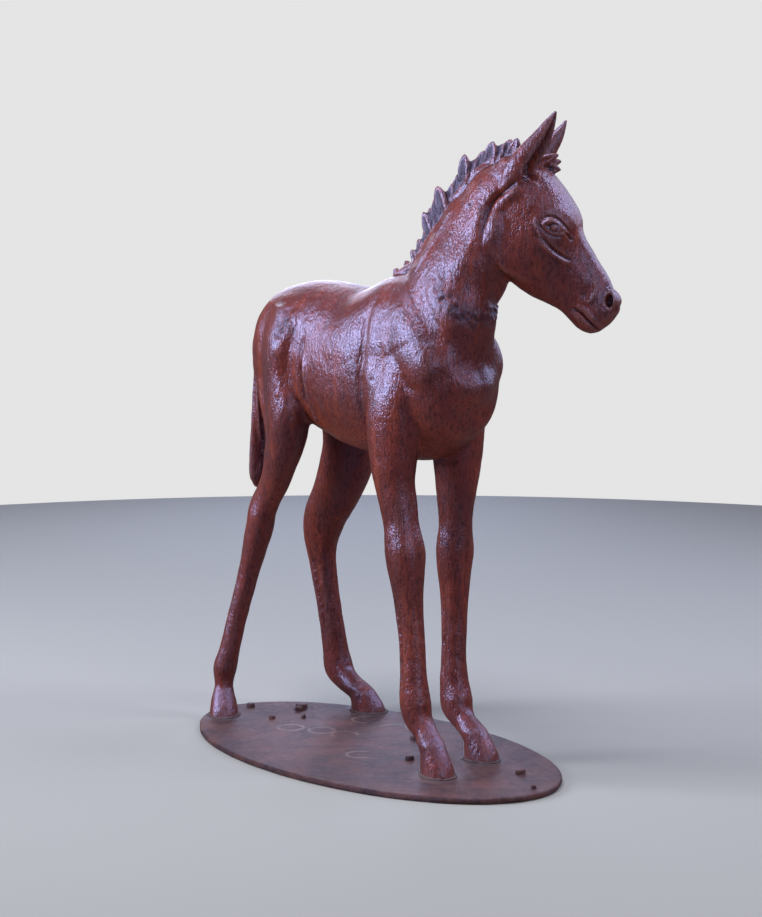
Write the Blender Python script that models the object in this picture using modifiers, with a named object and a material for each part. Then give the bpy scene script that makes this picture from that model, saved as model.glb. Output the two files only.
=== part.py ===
"""A life-size cast iron foal, standing on an oval plate that its hooves are welded to."""

import math

import bmesh
import bpy
from mathutils import Vector

# Driving dimensions, in metres
FIGURE_HEIGHT = 1.19  # from the plate's top to the tip of the right ear
PLATE_THICKNESS = 0.012
PLATE_END_MARGIN = 0.031  # from the rearmost heel to the plate's end
PLATE_SIDE_MARGIN = 0.035  # from the outermost hoof to the plate's side
PLATE_EDGE_RADIUS = 0.0025
WELD_GAP = 0.0003  # between the soles and the plate
STUB_RADIUS = 0.011  # the weld stubs left on the plate
STUB_HEIGHT = 0.009

# The figure is laid out in hundredths of its height: x forward, y to its left, z above the plate.
UNIT = FIGURE_HEIGHT / 100
HIND_REACH = 35.2  # from the plate's middle back to the rearmost heel
SIDE_REACH = 17.5  # from the plate's middle out to the outermost hoof
STAND_ASIDE = 4.3  # the figure stands this far to the left of the plate's middle
STAND_TURN = math.radians(-4.3)

PLATE_LENGTH = 2 * (HIND_REACH * UNIT + PLATE_END_MARGIN)
PLATE_WIDTH = 2 * (SIDE_REACH * UNIT + PLATE_SIDE_MARGIN)
# Stubs on the plate: shares of its half length and half width, and size against the full stub
STUBS = [
    (-0.91, 0.08, 0.9),
    (-0.745, 0.38, 1.3),
    (-0.715, 0.31, 0.9),
    (-0.665, -0.045, 0.7),
    (-0.59, 0.175, 0.5),
    (0.03, 0.375, 0.8),
    (0.275, -0.06, 0.9),
    (0.735, 0.30, 1.0),
    (0.935, 0.08, 0.5),
]

# How finely the casting's skin is made
BODY_VOXEL = 0.006
BODY_SMOOTHING = 6
SKIN_VOXEL = 0.0038
SKIN_SMOOTHING = 1
SKIN_SHARE = 0.0185  # of the fine skin's faces, kept in the solid
RING_POINTS = 24
PLATE_POINTS = 72

# The barrel: x, z of the back, z of the belly, half width
TRUNK = [
    (-34.4, 63.5, 60.5, 1.2),
    (-33.6, 66.4, 56.5, 4.0),
    (-31.5, 69.0, 53.0, 6.0),
    (-28.5, 70.9, 51.5, 7.4),
    (-24.5, 72.4, 50.8, 8.3),
    (-19.0, 73.4, 50.0, 8.6),
    (-12.5, 73.1, 48.4, 8.6),
    (-6.0, 72.5, 46.8, 9.1),
    (0.0, 73.8, 46.2, 9.2),
    (5.5, 75.4, 46.3, 8.5),
    (11.5, 75.2, 47.0, 7.9),
    (16.0, 72.5, 49.4, 7.4),
    (19.2, 69.0, 53.4, 6.0),
    (20.9, 66.0, 56.5, 4.0),
    (21.4, 63.5, 59.5, 1.2),
]
# x, y, z of the middle, half depth from crest to throat, half width, taper towards the crest
NECK = [
    (12.0, 0.0, 65.0, 9.6, 6.2, -0.1),
    (13.2, 0.1, 70.0, 9.6, 5.8, -0.15),
    (14.1, 0.5, 74.3, 8.8, 5.0, -0.2),
    (15.7, 1.4, 77.9, 7.9, 4.5, -0.25),
    (17.1, 2.3, 80.7, 7.6, 4.2, -0.25),
    (19.0, 3.3, 83.5, 7.3, 4.1, -0.2),
    (20.4, 4.0, 86.6, 5.8, 3.9, -0.15),
    (22.6, 4.7, 88.8, 4.3, 3.6, -0.1),
    (25.0, 5.8, 90.2, 2.6, 2.8, 0.0),
]
THROAT = [
    (18.0, 2.4, 70.0, 1.8, 1.7),
    (19.6, 3.7, 73.5, 2.4, 1.9),
    (20.3, 4.3, 76.0, 2.5, 2.0),
    (21.4, 5.0, 79.5, 2.2, 2.0),
]
# The head hangs from the poll, in a plane turned to the foal's left.
POLL = Vector((23.1, 4.95, 93.2))
HEAD_HEADING = math.radians(40.3)
HEAD_SLOPE = math.radians(52.0)
# Along the head, height of the face line, height of the jaw line, half width, taper towards the jaw
HEAD = [
    (-0.8, -0.4, -3.6, 1.6, 0.0),
    (0.8, 0.9, -4.8, 3.0, 0.0),
    (2.6, 2.2, -5.4, 3.9, 0.05),
    (4.4, 3.5, -6.2, 4.4, 0.1),
    (6.4, 4.1, -7.9, 4.6, 0.2),
    (8.6, 4.2, -10.0, 4.7, 0.25),
    (11.0, 3.5, -11.3, 4.8, 0.28),
    (13.6, 2.6, -11.6, 4.5, 0.28),
    (16.4, 1.9, -10.7, 3.7, 0.2),
    (19.2, 1.4, -9.3, 3.0, 0.1),
    (22.0, 0.9, -8.1, 2.6, 0.0),
    (24.6, 0.4, -7.8, 2.6, 0.05),
    (26.6, -0.1, -7.6, 2.6, 0.1),
    (27.9, -1.1, -6.9, 2.0, 0.1),
    (28.6, -2.6, -5.4, 0.8, 0.0),
]
# Ears, from the poll: forward along the head's heading, left, up, half breadth, half thickness
RIGHT_EAR = [
    (0.6, -2.3, -6.0, 0.8, 0.7),
    (0.9, -2.9, -4.4, 1.9, 1.5),
    (1.7, -3.3, -2.0, 2.3, 1.7),
    (3.3, -3.7, 0.5, 1.95, 1.45),
    (5.0, -4.1, 2.7, 1.5, 1.1),
    (6.3, -4.4, 4.8, 0.95, 0.7),
    (7.4, -4.5, 6.9, 0.2, 0.2),
]
LEFT_EAR = [
    (0.6, 2.3, -6.0, 0.8, 0.7),
    (0.9, 2.9, -4.4, 1.9, 1.5),
    (1.8, 3.3, -2.2, 2.3, 1.7),
    (3.5, 3.7, -0.1, 1.95, 1.45),
    (5.2, 4.0, 1.9, 1.4, 1.1),
    (6.5, 4.3, 3.8, 0.85, 0.7),
    (7.5, 4.5, 5.7, 0.2, 0.2),
]
EAR_HOLLOW = [(2, 0.55), (3, 0.7), (4, 0.65), (5, 0.4)]  # ear station, share of its breadth
# Locks of the mane: x, z at the crest, x, z at the tip, half breadth
MANE = [
    (23.0, 93.2, 24.9, 96.2, 1.3),
    (20.9, 93.0, 22.6, 96.0, 1.6),
    (18.9, 92.6, 20.0, 95.8, 1.7),
    (16.4, 91.7, 17.3, 94.4, 1.4),
    (13.9, 89.9, 14.2, 93.8, 1.6),
    (12.1, 87.7, 12.5, 91.0, 1.3),
    (10.4, 85.4, 9.1, 89.0, 1.7),
    (9.4, 83.2, 7.8, 87.0, 1.4),
    (8.6, 81.2, 6.8, 85.0, 1.3),
    (7.9, 79.4, 6.3, 82.2, 1.2),
    (6.2, 77.3, 4.8, 79.1, 0.9),
    (3.6, 76.0, 2.2, 77.2, 0.8),
    (1.6, 75.2, 0.7, 75.9, 0.6),
]
LOCK_THICKNESS = 0.75
LOCK_SINK = 1.6  # how deep a lock's root goes under the crest
LOCK_LEAN = 0.5  # how far every other lock leans to its side
# The crest line that the mane stands on: x, y, z
CREST = [
    (1.0, 0.0, 75.0),
    (6.1, 0.3, 77.3),
    (8.3, 1.0, 80.0),
    (9.85, 1.8, 82.7),
    (11.8, 2.7, 86.3),
    (14.0, 3.5, 89.2),
    (17.1, 4.1, 91.4),
    (20.0, 4.7, 92.6),
    (23.0, 5.2, 93.0),
]
# Locks over the forehead, in the head's frame: along, side, off at the root and at the tip
FORELOCK = [
    ((2.8, -0.8, 2.0), (4.0, -1.0, 6.1)),
    ((3.2, 0.7, 2.4), (4.9, 0.6, 5.6)),
    ((3.8, 0.0, 2.8), (6.0, -0.1, 4.9)),
]

# Legs, from the body down: x, y, z, half depth, half width
RIGHT_FORELEG = [
    (10.0, -4.8, 63.0, 5.2, 3.0),
    (9.0, -6.0, 57.5, 5.2, 3.5),
    (8.6, -6.5, 52.0, 5.0, 3.6),
    (8.9, -6.5, 47.0, 4.4, 3.3),
    (9.3, -6.5, 43.5, 3.7, 2.9),
    (10.2, -6.4, 39.6, 3.35, 2.7),
    (10.8, -6.4, 37.1, 3.15, 2.5),
    (11.4, -6.4, 34.7, 3.3, 2.8),
    (11.8, -6.4, 32.9, 3.4, 2.95),
    (12.1, -6.4, 30.6, 3.25, 2.75),
    (12.5, -6.4, 27.5, 2.95, 2.25),
    (13.0, -6.4, 23.5, 2.6, 1.95),
    (13.8, -6.5, 18.5, 2.45, 1.85),
    (14.4, -6.7, 14.0, 2.55, 1.9),
    (15.0, -6.8, 10.4, 2.9, 2.25),
    (15.8, -6.9, 8.0, 2.5, 2.15),
    (17.5, -6.9, 6.2, 1.85, 1.9),
    (18.8, -7.0, 4.8, 1.8, 1.95),
    (19.8, -7.0, 3.6, 1.95, 2.1),
]
LEFT_FORELEG = [
    (9.5, 4.8, 63.0, 5.2, 3.0),
    (8.6, 6.0, 57.5, 5.2, 3.5),
    (8.2, 6.4, 51.0, 4.9, 3.6),
    (8.2, 6.4, 45.8, 4.3, 3.3),
    (8.1, 6.4, 42.0, 3.7, 2.85),
    (8.0, 6.3, 38.2, 3.1, 2.5),
    (8.0, 6.3, 35.6, 2.95, 2.4),
    (7.9, 6.3, 33.2, 3.1, 2.75),
    (7.9, 6.3, 31.4, 3.2, 2.85),
    (8.0, 6.1, 29.0, 3.05, 2.55),
    (8.2, 6.0, 25.8, 2.7, 2.05),
    (8.4, 5.8, 21.5, 2.35, 1.8),
    (8.8, 5.4, 16.5, 2.3, 1.75),
    (9.1, 5.2, 12.6, 2.45, 1.9),
    (9.5, 5.1, 9.8, 2.7, 2.1),
    (10.3, 4.9, 7.5, 2.95, 2.3),
    (11.3, 4.8, 6.2, 2.4, 2.1),
    (12.7, 4.7, 5.1, 1.8, 1.8),
    (14.3, 4.6, 4.2, 1.85, 1.9),
    (15.9, 4.5, 3.3, 1.9, 2.05),
]
RIGHT_HIND_LEG = [
    (-23.5, -4.0, 69.0, 5.8, 2.4),
    (-24.0, -4.9, 63.0, 8.0, 3.4),
    (-23.2, -5.4, 57.0, 7.0, 3.5),
    (-21.3, -5.8, 52.0, 6.4, 3.6),
    (-21.6, -5.9, 48.0, 5.5, 3.4),
    (-22.9, -6.0, 44.5, 4.9, 2.95),
    (-24.6, -6.0, 40.8, 4.1, 2.5),
    (-26.7, -6.1, 37.6, 3.65, 2.2),
    (-28.5, -6.2, 34.8, 4.0, 2.4),
    (-29.1, -6.3, 32.2, 3.8, 2.35),
    (-29.8, -6.9, 28.4, 3.05, 2.1),
    (-30.7, -7.6, 24.2, 2.5, 1.8),
    (-31.8, -8.7, 18.5, 2.25, 1.65),
    (-32.6, -9.8, 12.8, 2.3, 1.65),
    (-33.2, -10.3, 9.8, 2.5, 1.8),
    (-33.7, -10.6, 7.6, 2.8, 2.0),
    (-33.4, -11.0, 5.6, 1.9, 1.7),
    (-33.1, -11.2, 4.2, 1.75, 1.55),
    (-32.9, -11.4, 3.1, 2.0, 1.9),
]
LEFT_HIND_LEG = [
    (-23.5, 4.0, 69.0, 5.8, 2.4),
    (-23.5, 4.9, 63.0, 8.0, 3.4),
    (-21.5, 5.4, 56.5, 7.0, 3.5),
    (-19.9, 5.8, 50.5, 5.8, 3.5),
    (-20.4, 6.0, 45.4, 5.1, 3.3),
    (-22.3, 6.0, 41.0, 4.8, 2.95),
    (-24.6, 6.0, 37.2, 4.4, 2.65),
    (-27.3, 6.1, 33.8, 4.0, 2.45),
    (-29.1, 6.3, 31.0, 3.8, 2.4),
    (-30.0, 6.6, 28.2, 3.2, 2.2),
    (-30.0, 6.9, 24.8, 2.6, 1.85),
    (-29.3, 7.3, 19.5, 2.3, 1.65),
    (-28.5, 7.8, 13.8, 2.35, 1.65),
    (-28.0, 8.2, 9.4, 2.5, 1.75),
    (-27.3, 8.4, 6.4, 2.75, 1.95),
    (-25.7, 8.6, 4.7, 2.2, 1.9),
    (-23.4, 8.7, 3.7, 1.9, 1.85),
    (-20.9, 8.8, 2.9, 1.9, 1.95),
]
# How far each toe points out from straight ahead
FORE_TOE = math.radians(4.0)
RIGHT_HIND_TOE = math.radians(32.0)
LEFT_HIND_TOE = math.radians(22.0)
HOOF_REACH = 1.25  # from the last leg station forward to the middle of the sole
HOOF_HALF_LENGTH = 3.2
HOOF_HALF_WIDTH = 2.5

# Muscles on both sides: x, y of the left one, z, half depth, half width
SHOULDER_BLADE = [
    (4.0, 2.4, 73.6, 1.8, 0.8),
    (7.5, 5.2, 69.5, 4.0, 1.5),
    (11.8, 6.0, 65.0, 4.9, 2.0),
    (15.6, 6.1, 61.0, 4.2, 2.0),
    (17.2, 5.8, 58.4, 2.0, 1.4),
]
TRICEPS = [
    (4.8, 5.6, 66.0, 1.5, 1.0),
    (5.4, 6.9, 61.5, 2.6, 1.8),
    (5.9, 7.2, 56.5, 2.7, 1.9),
    (6.4, 6.8, 51.5, 1.8, 1.5),
]
BREAST = [
    (18.5, 2.2, 66.0, 1.8, 1.7),
    (18.8, 2.4, 61.5, 2.1, 2.1),
    (17.5, 2.4, 57.0, 2.2, 2.1),
    (14.5, 2.4, 52.0, 2.1, 1.9),
]
BUTTOCK = [
    (-28.5, 2.8, 68.5, 2.4, 1.8),
    (-29.2, 4.2, 62.5, 3.2, 2.6),
    (-27.6, 5.1, 56.0, 2.7, 2.2),
    (-25.0, 5.7, 50.0, 2.3, 2.0),
    (-25.2, 5.8, 45.0, 1.6, 1.4),
]
HIP = [
    (-18.5, 5.4, 71.4, 1.2, 1.0),
    (-16.6, 7.0, 69.2, 1.7, 1.2),
    (-17.4, 7.8, 65.5, 1.6, 1.0),
    (-18.5, 7.6, 61.5, 1.2, 0.8),
]
FLANK_FOLD = [
    (-14.0, 7.7, 64.5, 0.5, 0.5),
    (-12.6, 8.2, 60.0, 0.9, 0.8),
    (-11.6, 7.8, 55.5, 0.9, 0.8),
    (-11.4, 6.6, 51.5, 0.6, 0.7),
]
TAIL = [
    (-30.0, 0.0, 68.6, 2.2, 1.8),
    (-33.0, 0.0, 66.8, 2.4, 2.0),
    (-35.0, -0.2, 62.5, 2.3, 1.9),
    (-36.3, -0.5, 56.5, 1.7, 1.8),
    (-37.0, -0.9, 48.0, 1.3, 1.7),
    (-37.5, -1.2, 41.0, 1.3, 1.65),
    (-37.8, -1.3, 38.4, 1.1, 1.3),
    (-37.8, -1.3, 36.9, 0.3, 0.4),
]

# Features on each side of the head, as paths on its skin: along, off, half size
BROW = [
    (8.6, -1.0, 0.3),
    (9.8, 0.8, 0.5),
    (11.6, 2.0, 0.6),
    (13.8, 2.0, 0.4),
    (17.0, 1.0, 0.15),
]
UPPER_LID = [
    (9.8, -2.1, 0.3),
    (10.5, -0.5, 0.6),
    (11.8, 0.6, 0.75),
    (13.4, 1.1, 0.65),
    (15.1, 0.9, 0.25),
]
LOWER_LID = [
    (9.8, -2.1, 0.3),
    (11.5, -2.2, 0.5),
    (13.2, -1.7, 0.6),
    (14.4, -0.5, 0.5),
    (15.1, 0.9, 0.25),
]
CHEEK_RIDGE = [
    (9.8, -3.2, 0.15),
    (12.4, -3.7, 0.45),
    (15.2, -3.1, 0.6),
    (18.2, -2.1, 0.15),
]
NOSTRIL_FOLD = [
    (21.6, -0.6, 0.2),
    (23.8, -1.2, 0.55),
    (25.2, -3.0, 0.5),
    (24.9, -4.2, 0.2),
]
MOUTH = [
    (23.4, -6.3, 0.15),
    (24.6, -5.4, 0.35),
    (26.5, -5.1, 0.4),
    (28.6, -4.8, 0.45),
]
# The opening between the lids: along, off of its rear and front corners, half height, lift off the skin
EYE_REAR = (10.5, -1.6)
EYE_FRONT = (14.5, 0.6)
EYE_HALF_OPENING = 1.0
EYE_OPENING_LIFT = 0.5
EYEBALL_RADIUS = 1.5
EYEBALL_DEPTH = 1.1  # from the skin in to the ball's middle
NOSTRIL = (25.7, -1.0, 1.5)  # along, off, radius of its raised rim
NOSTRIL_DEPTH = 0.9
NOSTRIL_HOLE = 1.0
CHEEK_DEPTH = 0.6
CHEEK = [
    (5.6, -4.4, 1.6, 0.6),
    (8.0, -6.2, 3.4, 1.2),
    (11.5, -7.3, 3.9, 1.4),
    (15.0, -7.0, 2.8, 1.0),
    (17.5, -6.6, 1.0, 0.4),
]


def clear_scene():
    """Remove whatever the file opened with."""
    for thing in list(bpy.data.objects):
        bpy.data.objects.remove(thing)


def new_collection(name):
    """A collection linked under the scene."""
    collection = bpy.data.collections.new(name)
    bpy.context.scene.collection.children.link(collection)
    return collection


def move_to(thing, collection):
    """Link an object in this collection alone."""
    for other in thing.users_collection:
        other.objects.unlink(thing)
    collection.objects.link(thing)


def cast_iron(name, colour, roughness):
    """A Principled material of rusted and waxed iron."""
    material = bpy.data.materials.new(name)
    material.use_nodes = True
    shader = material.node_tree.nodes["Principled BSDF"]
    shader.inputs["Base Color"].default_value = (*colour, 1.0)
    shader.inputs["Metallic"].default_value = 0.6
    shader.inputs["Roughness"].default_value = roughness
    return material


def smooth_stations(stations, steps=3):
    """Stations with Catmull-Rom in-betweens, so that a few sections make a smooth form."""
    rows = [stations[0], *stations, stations[-1]]
    result = []
    for p, q, r, s in zip(rows, rows[1:], rows[2:], rows[3:]):
        for step in range(steps):
            t = step / steps
            row = []
            for a, b, c, d in zip(p, q, r, s):
                bend = (2 * a - 5 * b + 4 * c - d) * t + (3 * b - a - 3 * c + d) * t * t
                row.append(b + 0.5 * t * (c - a + bend))
            result.append(tuple(row))
    result.append(tuple(stations[-1]))
    return result


def section(centre, side, up, half_side, half_up, taper, power):
    """The points of one closed oval section. A taper above 0 makes its upper half the wider one."""
    points = []
    for k in range(RING_POINTS):
        angle = 2 * math.pi * k / RING_POINTS
        across = math.copysign(abs(math.cos(angle)) ** (2 / power), math.cos(angle))
        along = math.copysign(abs(math.sin(angle)) ** (2 / power), math.sin(angle))
        points.append(centre + side * (across * half_side * (1 + taper * along)) + up * (along * half_up))
    return points


def add_loft(mesh, stations, side_hint, power=2.1):
    """A closed form through oval sections: a centre, half height, half width and taper for each."""
    rows = smooth_stations(stations)
    centres = [Vector(row[:3]) for row in rows]
    rings = []
    for i, row in enumerate(rows):
        tangent = (centres[min(i + 1, len(rows) - 1)] - centres[max(i - 1, 0)]).normalized()
        side = (side_hint - tangent * side_hint.dot(tangent)).normalized()
        up = tangent.cross(side)
        taper = row[5] if len(row) > 5 else 0.0
        points = section(centres[i], side, up, max(row[4], 0.1), max(row[3], 0.1), taper, power)
        rings.append([mesh.verts.new(point * UNIT) for point in points])
    for ring, following in zip(rings, rings[1:]):
        for k in range(RING_POINTS):
            after = (k + 1) % RING_POINTS
            mesh.faces.new((ring[k], ring[after], following[after], following[k]))
    mesh.faces.new(rings[0][::-1])
    mesh.faces.new(rings[-1])


def level_heading(angle):
    """The level direction at this angle to the left of straight ahead, and the one to its left."""
    return Vector((math.cos(angle), math.sin(angle), 0)), Vector((-math.sin(angle), math.cos(angle), 0))


LEFTWARD = Vector((0, 1, 0))
UPWARD = Vector((0, 0, 1))
HEAD_AHEAD, HEAD_LEFT = level_heading(HEAD_HEADING)
DOWN_FACE = HEAD_AHEAD * math.cos(HEAD_SLOPE) - UPWARD * math.sin(HEAD_SLOPE)
OFF_FACE = HEAD_AHEAD * math.sin(HEAD_SLOPE) + UPWARD * math.cos(HEAD_SLOPE)


def head_point(along, side, off):
    """A point of the head, from its distances down the face, to the left and off the face."""
    return POLL + DOWN_FACE * along + HEAD_LEFT * side + OFF_FACE * off


def between(table, x):
    """The row of a table at x, with straight lines between the rows that are written."""
    if x <= table[0][0]:
        return table[0]
    for low, high in zip(table, table[1:]):
        if x <= high[0]:
            share = (x - low[0]) / (high[0] - low[0])
            return tuple(a + (b - a) * share for a, b in zip(low, high))
    return table[-1]


def on_cheek(hand, along, off, lift=0.0):
    """The point of the head's skin at this height, on the left (1) or the right (-1)."""
    _, face, jaw, half, taper = between(HEAD, along)
    height = max(-1.0, min(1.0, (off - (face + jaw) / 2) / ((face - jaw) / 2)))
    width = half * (1 + taper * height) * (1 - abs(height) ** 2.2) ** (1 / 2.2)
    return head_point(along, hand * (width + lift), off)


def add_trunk(mesh):
    """The barrel, from the rump to the breast."""
    stations = [(x, 0.0, (top + low) / 2, (top - low) / 2, half, -0.04) for x, top, low, half in TRUNK]
    add_loft(mesh, stations, LEFTWARD, power=2.3)


def add_head(mesh):
    """The skull and muzzle, with the round cheeks."""
    stations = []
    for along, face, jaw, half, taper in HEAD:
        stations.append((*head_point(along, 0.0, (face + jaw) / 2), (face - jaw) / 2, half, taper))
    add_loft(mesh, stations, HEAD_LEFT, power=2.2)
    for hand in (1, -1):
        cheek = []
        for along, off, deep, wide in CHEEK:
            cheek.append((*on_cheek(hand, along, off, -CHEEK_DEPTH), deep, wide))
        add_loft(mesh, cheek, HEAD_LEFT)


def add_leg(mesh, stations, toe):
    """A leg from the body to the coronet, and its hoof, which runs a little way past the sole."""
    ahead, left = level_heading(toe)
    add_loft(mesh, stations, left)
    crown = Vector(stations[-1][:3])
    sole = crown + ahead * HOOF_REACH
    sole.z = 0.0
    hoof = [
        (*(crown - ahead * 0.2 + UPWARD * 0.5), 1.5, 1.6),
        (*crown, 2.1, 1.95),
        (*(sole * 0.85 + crown * 0.15 - UPWARD * 0.2), HOOF_HALF_LENGTH * 0.95, HOOF_HALF_WIDTH * 0.97),
        (sole.x, sole.y, -0.8, HOOF_HALF_LENGTH, HOOF_HALF_WIDTH),
    ]
    add_loft(mesh, hoof, left)


def add_pair(mesh, stations):
    """The same muscle on the left and on the right."""
    for hand in (1, -1):
        add_loft(mesh, [(x, hand * y, *rest) for x, y, *rest in stations], LEFTWARD)


def add_lock(mesh, root, tip, half_breadth, half_thickness, side_hint, sink):
    """A leaf-shaped lock of hair, from under the skin to its point."""
    rise = tip - root
    outward = rise.normalized()
    stations = [
        (*(root - outward * sink), half_breadth * 0.8, half_thickness * 0.8),
        (*root, half_breadth, half_thickness),
        (*(root + rise * 0.55), half_breadth * 0.8, half_thickness * 0.75),
        (*tip, 0.15, 0.15),
    ]
    add_loft(mesh, stations, side_hint)


def add_mane(mesh):
    """The upright mane: leaf-shaped locks along the crest, leaning left and right in turn."""
    add_loft(mesh, [(x, y, z - 0.5, 1.1, 0.9) for x, y, z in CREST], LEFTWARD)
    for count, (x, z, tip_x, tip_z, half) in enumerate(MANE):
        y = between(CREST, x)[1]
        lean = LOCK_LEAN * (-1) ** count
        root = Vector((x, y - lean * 0.4, z))
        tip = Vector((tip_x, y - lean, tip_z))
        add_lock(mesh, root, tip, half, LOCK_THICKNESS, LEFTWARD, LOCK_SINK)
        if count < len(MANE) - 3:
            step = Vector((MANE[count + 1][0] - x, 0, MANE[count + 1][1] - z)) * 0.5
            step.y = lean * 1.3
            lower_tip = tip + step - UPWARD * 0.4
            add_lock(mesh, root + step, lower_tip, half * 0.9, LOCK_THICKNESS, LEFTWARD, LOCK_SINK)


def add_forelock(mesh):
    """The small locks that fall forward between the ears."""
    for root, tip in FORELOCK:
        add_lock(mesh, head_point(*root), head_point(*tip), 0.9, 0.8, HEAD_LEFT, 0.8)


def ear_points(stations):
    """An ear's stations, set out from the poll."""
    placed = []
    for forward, aside, rise, breadth, thickness in stations:
        middle = POLL + HEAD_AHEAD * forward + HEAD_LEFT * aside + UPWARD * rise
        placed.append((*middle, breadth, thickness))
    return placed


def add_face_path(mesh, path, lift=0.0):
    """A raised or cut line on both sides of the head."""
    for hand in (1, -1):
        stations = [(*on_cheek(hand, along, off, lift), size, size) for along, off, size in path]
        add_loft(mesh, stations, OFF_FACE)


def add_ball(mesh, centre, half_height, half_width, half_length, axis):
    """An egg-shaped form along an axis."""
    stations = []
    for share in (-1.0, -0.85, -0.45, 0.0, 0.45, 0.85, 1.0):
        size = math.sqrt(1 - share * share)
        stations.append((*(centre + axis * (share * half_length)), size * half_height, size * half_width))
    add_loft(mesh, stations, HEAD_LEFT, power=2.0)


def evaluated_mesh(thing):
    """The object's mesh with its modifiers applied."""
    graph = bpy.context.evaluated_depsgraph_get()
    return bpy.data.meshes.new_from_object(thing.evaluated_get(graph))


def new_object(name, mesh, collection):
    """An object made of a bmesh."""
    data = bpy.data.meshes.new(name)
    mesh.to_mesh(data)
    mesh.free()
    thing = bpy.data.objects.new(name, data)
    collection.objects.link(thing)
    return thing


def add_skin(thing, voxel, smoothing):
    """Fuse overlapping forms into one skin, and ease it where they meet."""
    skin = thing.modifiers.new("skin", "REMESH")
    skin.mode = "VOXEL"
    skin.voxel_size = voxel
    skin.use_smooth_shade = True
    ease = thing.modifiers.new("ease", "SMOOTH")
    ease.factor = 0.5
    ease.iterations = smoothing


def make_guide(thing):
    """Keep a cutter out of the finished part."""
    thing.hide_render = True
    thing.display_type = "WIRE"


def body_mesh():
    """The body's broad forms, fused and eased."""
    mesh = bmesh.new()
    add_trunk(mesh)
    add_loft(mesh, NECK, LEFTWARD)
    add_loft(mesh, THROAT, LEFTWARD)
    add_head(mesh)
    add_leg(mesh, RIGHT_FORELEG, -FORE_TOE)
    add_leg(mesh, LEFT_FORELEG, FORE_TOE)
    add_leg(mesh, RIGHT_HIND_LEG, -RIGHT_HIND_TOE)
    add_leg(mesh, LEFT_HIND_LEG, LEFT_HIND_TOE)
    for muscle in (SHOULDER_BLADE, TRICEPS, BREAST, BUTTOCK, HIP):
        add_pair(mesh, muscle)
    add_loft(mesh, TAIL, LEFTWARD)
    body = new_object("body", mesh, bpy.context.scene.collection)
    add_skin(body, BODY_VOXEL, BODY_SMOOTHING)
    data = evaluated_mesh(body)
    bpy.data.objects.remove(body)
    return data


def carving_mesh():
    """What is cut in: the ears' hollows, the nostrils, the mouth and the eye openings."""
    mesh = bmesh.new()
    for ear in (RIGHT_EAR, LEFT_EAR):
        placed = ear_points(ear)
        hollow = []
        for station, share in EAR_HOLLOW:
            x, y, z, breadth, thickness = placed[station]
            middle = Vector((x, y, z)) + HEAD_AHEAD * (breadth * 0.95) - UPWARD * (breadth * 0.5)
            hollow.append((*middle, breadth * share, thickness * share))
        add_loft(mesh, hollow, HEAD_LEFT)
    for hand in (1, -1):
        middle = on_cheek(hand, NOSTRIL[0], NOSTRIL[1], 0.5)
        add_ball(mesh, middle, NOSTRIL_HOLE, NOSTRIL_HOLE * 1.2, NOSTRIL_HOLE * 1.2, DOWN_FACE)
        rear = on_cheek(hand, *EYE_REAR, EYE_OPENING_LIFT)
        front = on_cheek(hand, *EYE_FRONT, EYE_OPENING_LIFT)
        along = (front - rear).normalized()
        length = (front - rear).length / 2
        add_ball(mesh, (front + rear) / 2, EYE_HALF_OPENING, EYE_HALF_OPENING, length, along)
    add_face_path(mesh, MOUTH, lift=0.1)
    return mesh


def eyes_mesh():
    """The two eyeballs."""
    mesh = bmesh.new()
    along = (EYE_REAR[0] + EYE_FRONT[0]) / 2
    off = (EYE_REAR[1] + EYE_FRONT[1]) / 2
    for hand in (1, -1):
        middle = on_cheek(hand, along, off, -EYEBALL_DEPTH)
        add_ball(mesh, middle, EYEBALL_RADIUS, EYEBALL_RADIUS, EYEBALL_RADIUS * 1.2, DOWN_FACE)
    return mesh


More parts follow.
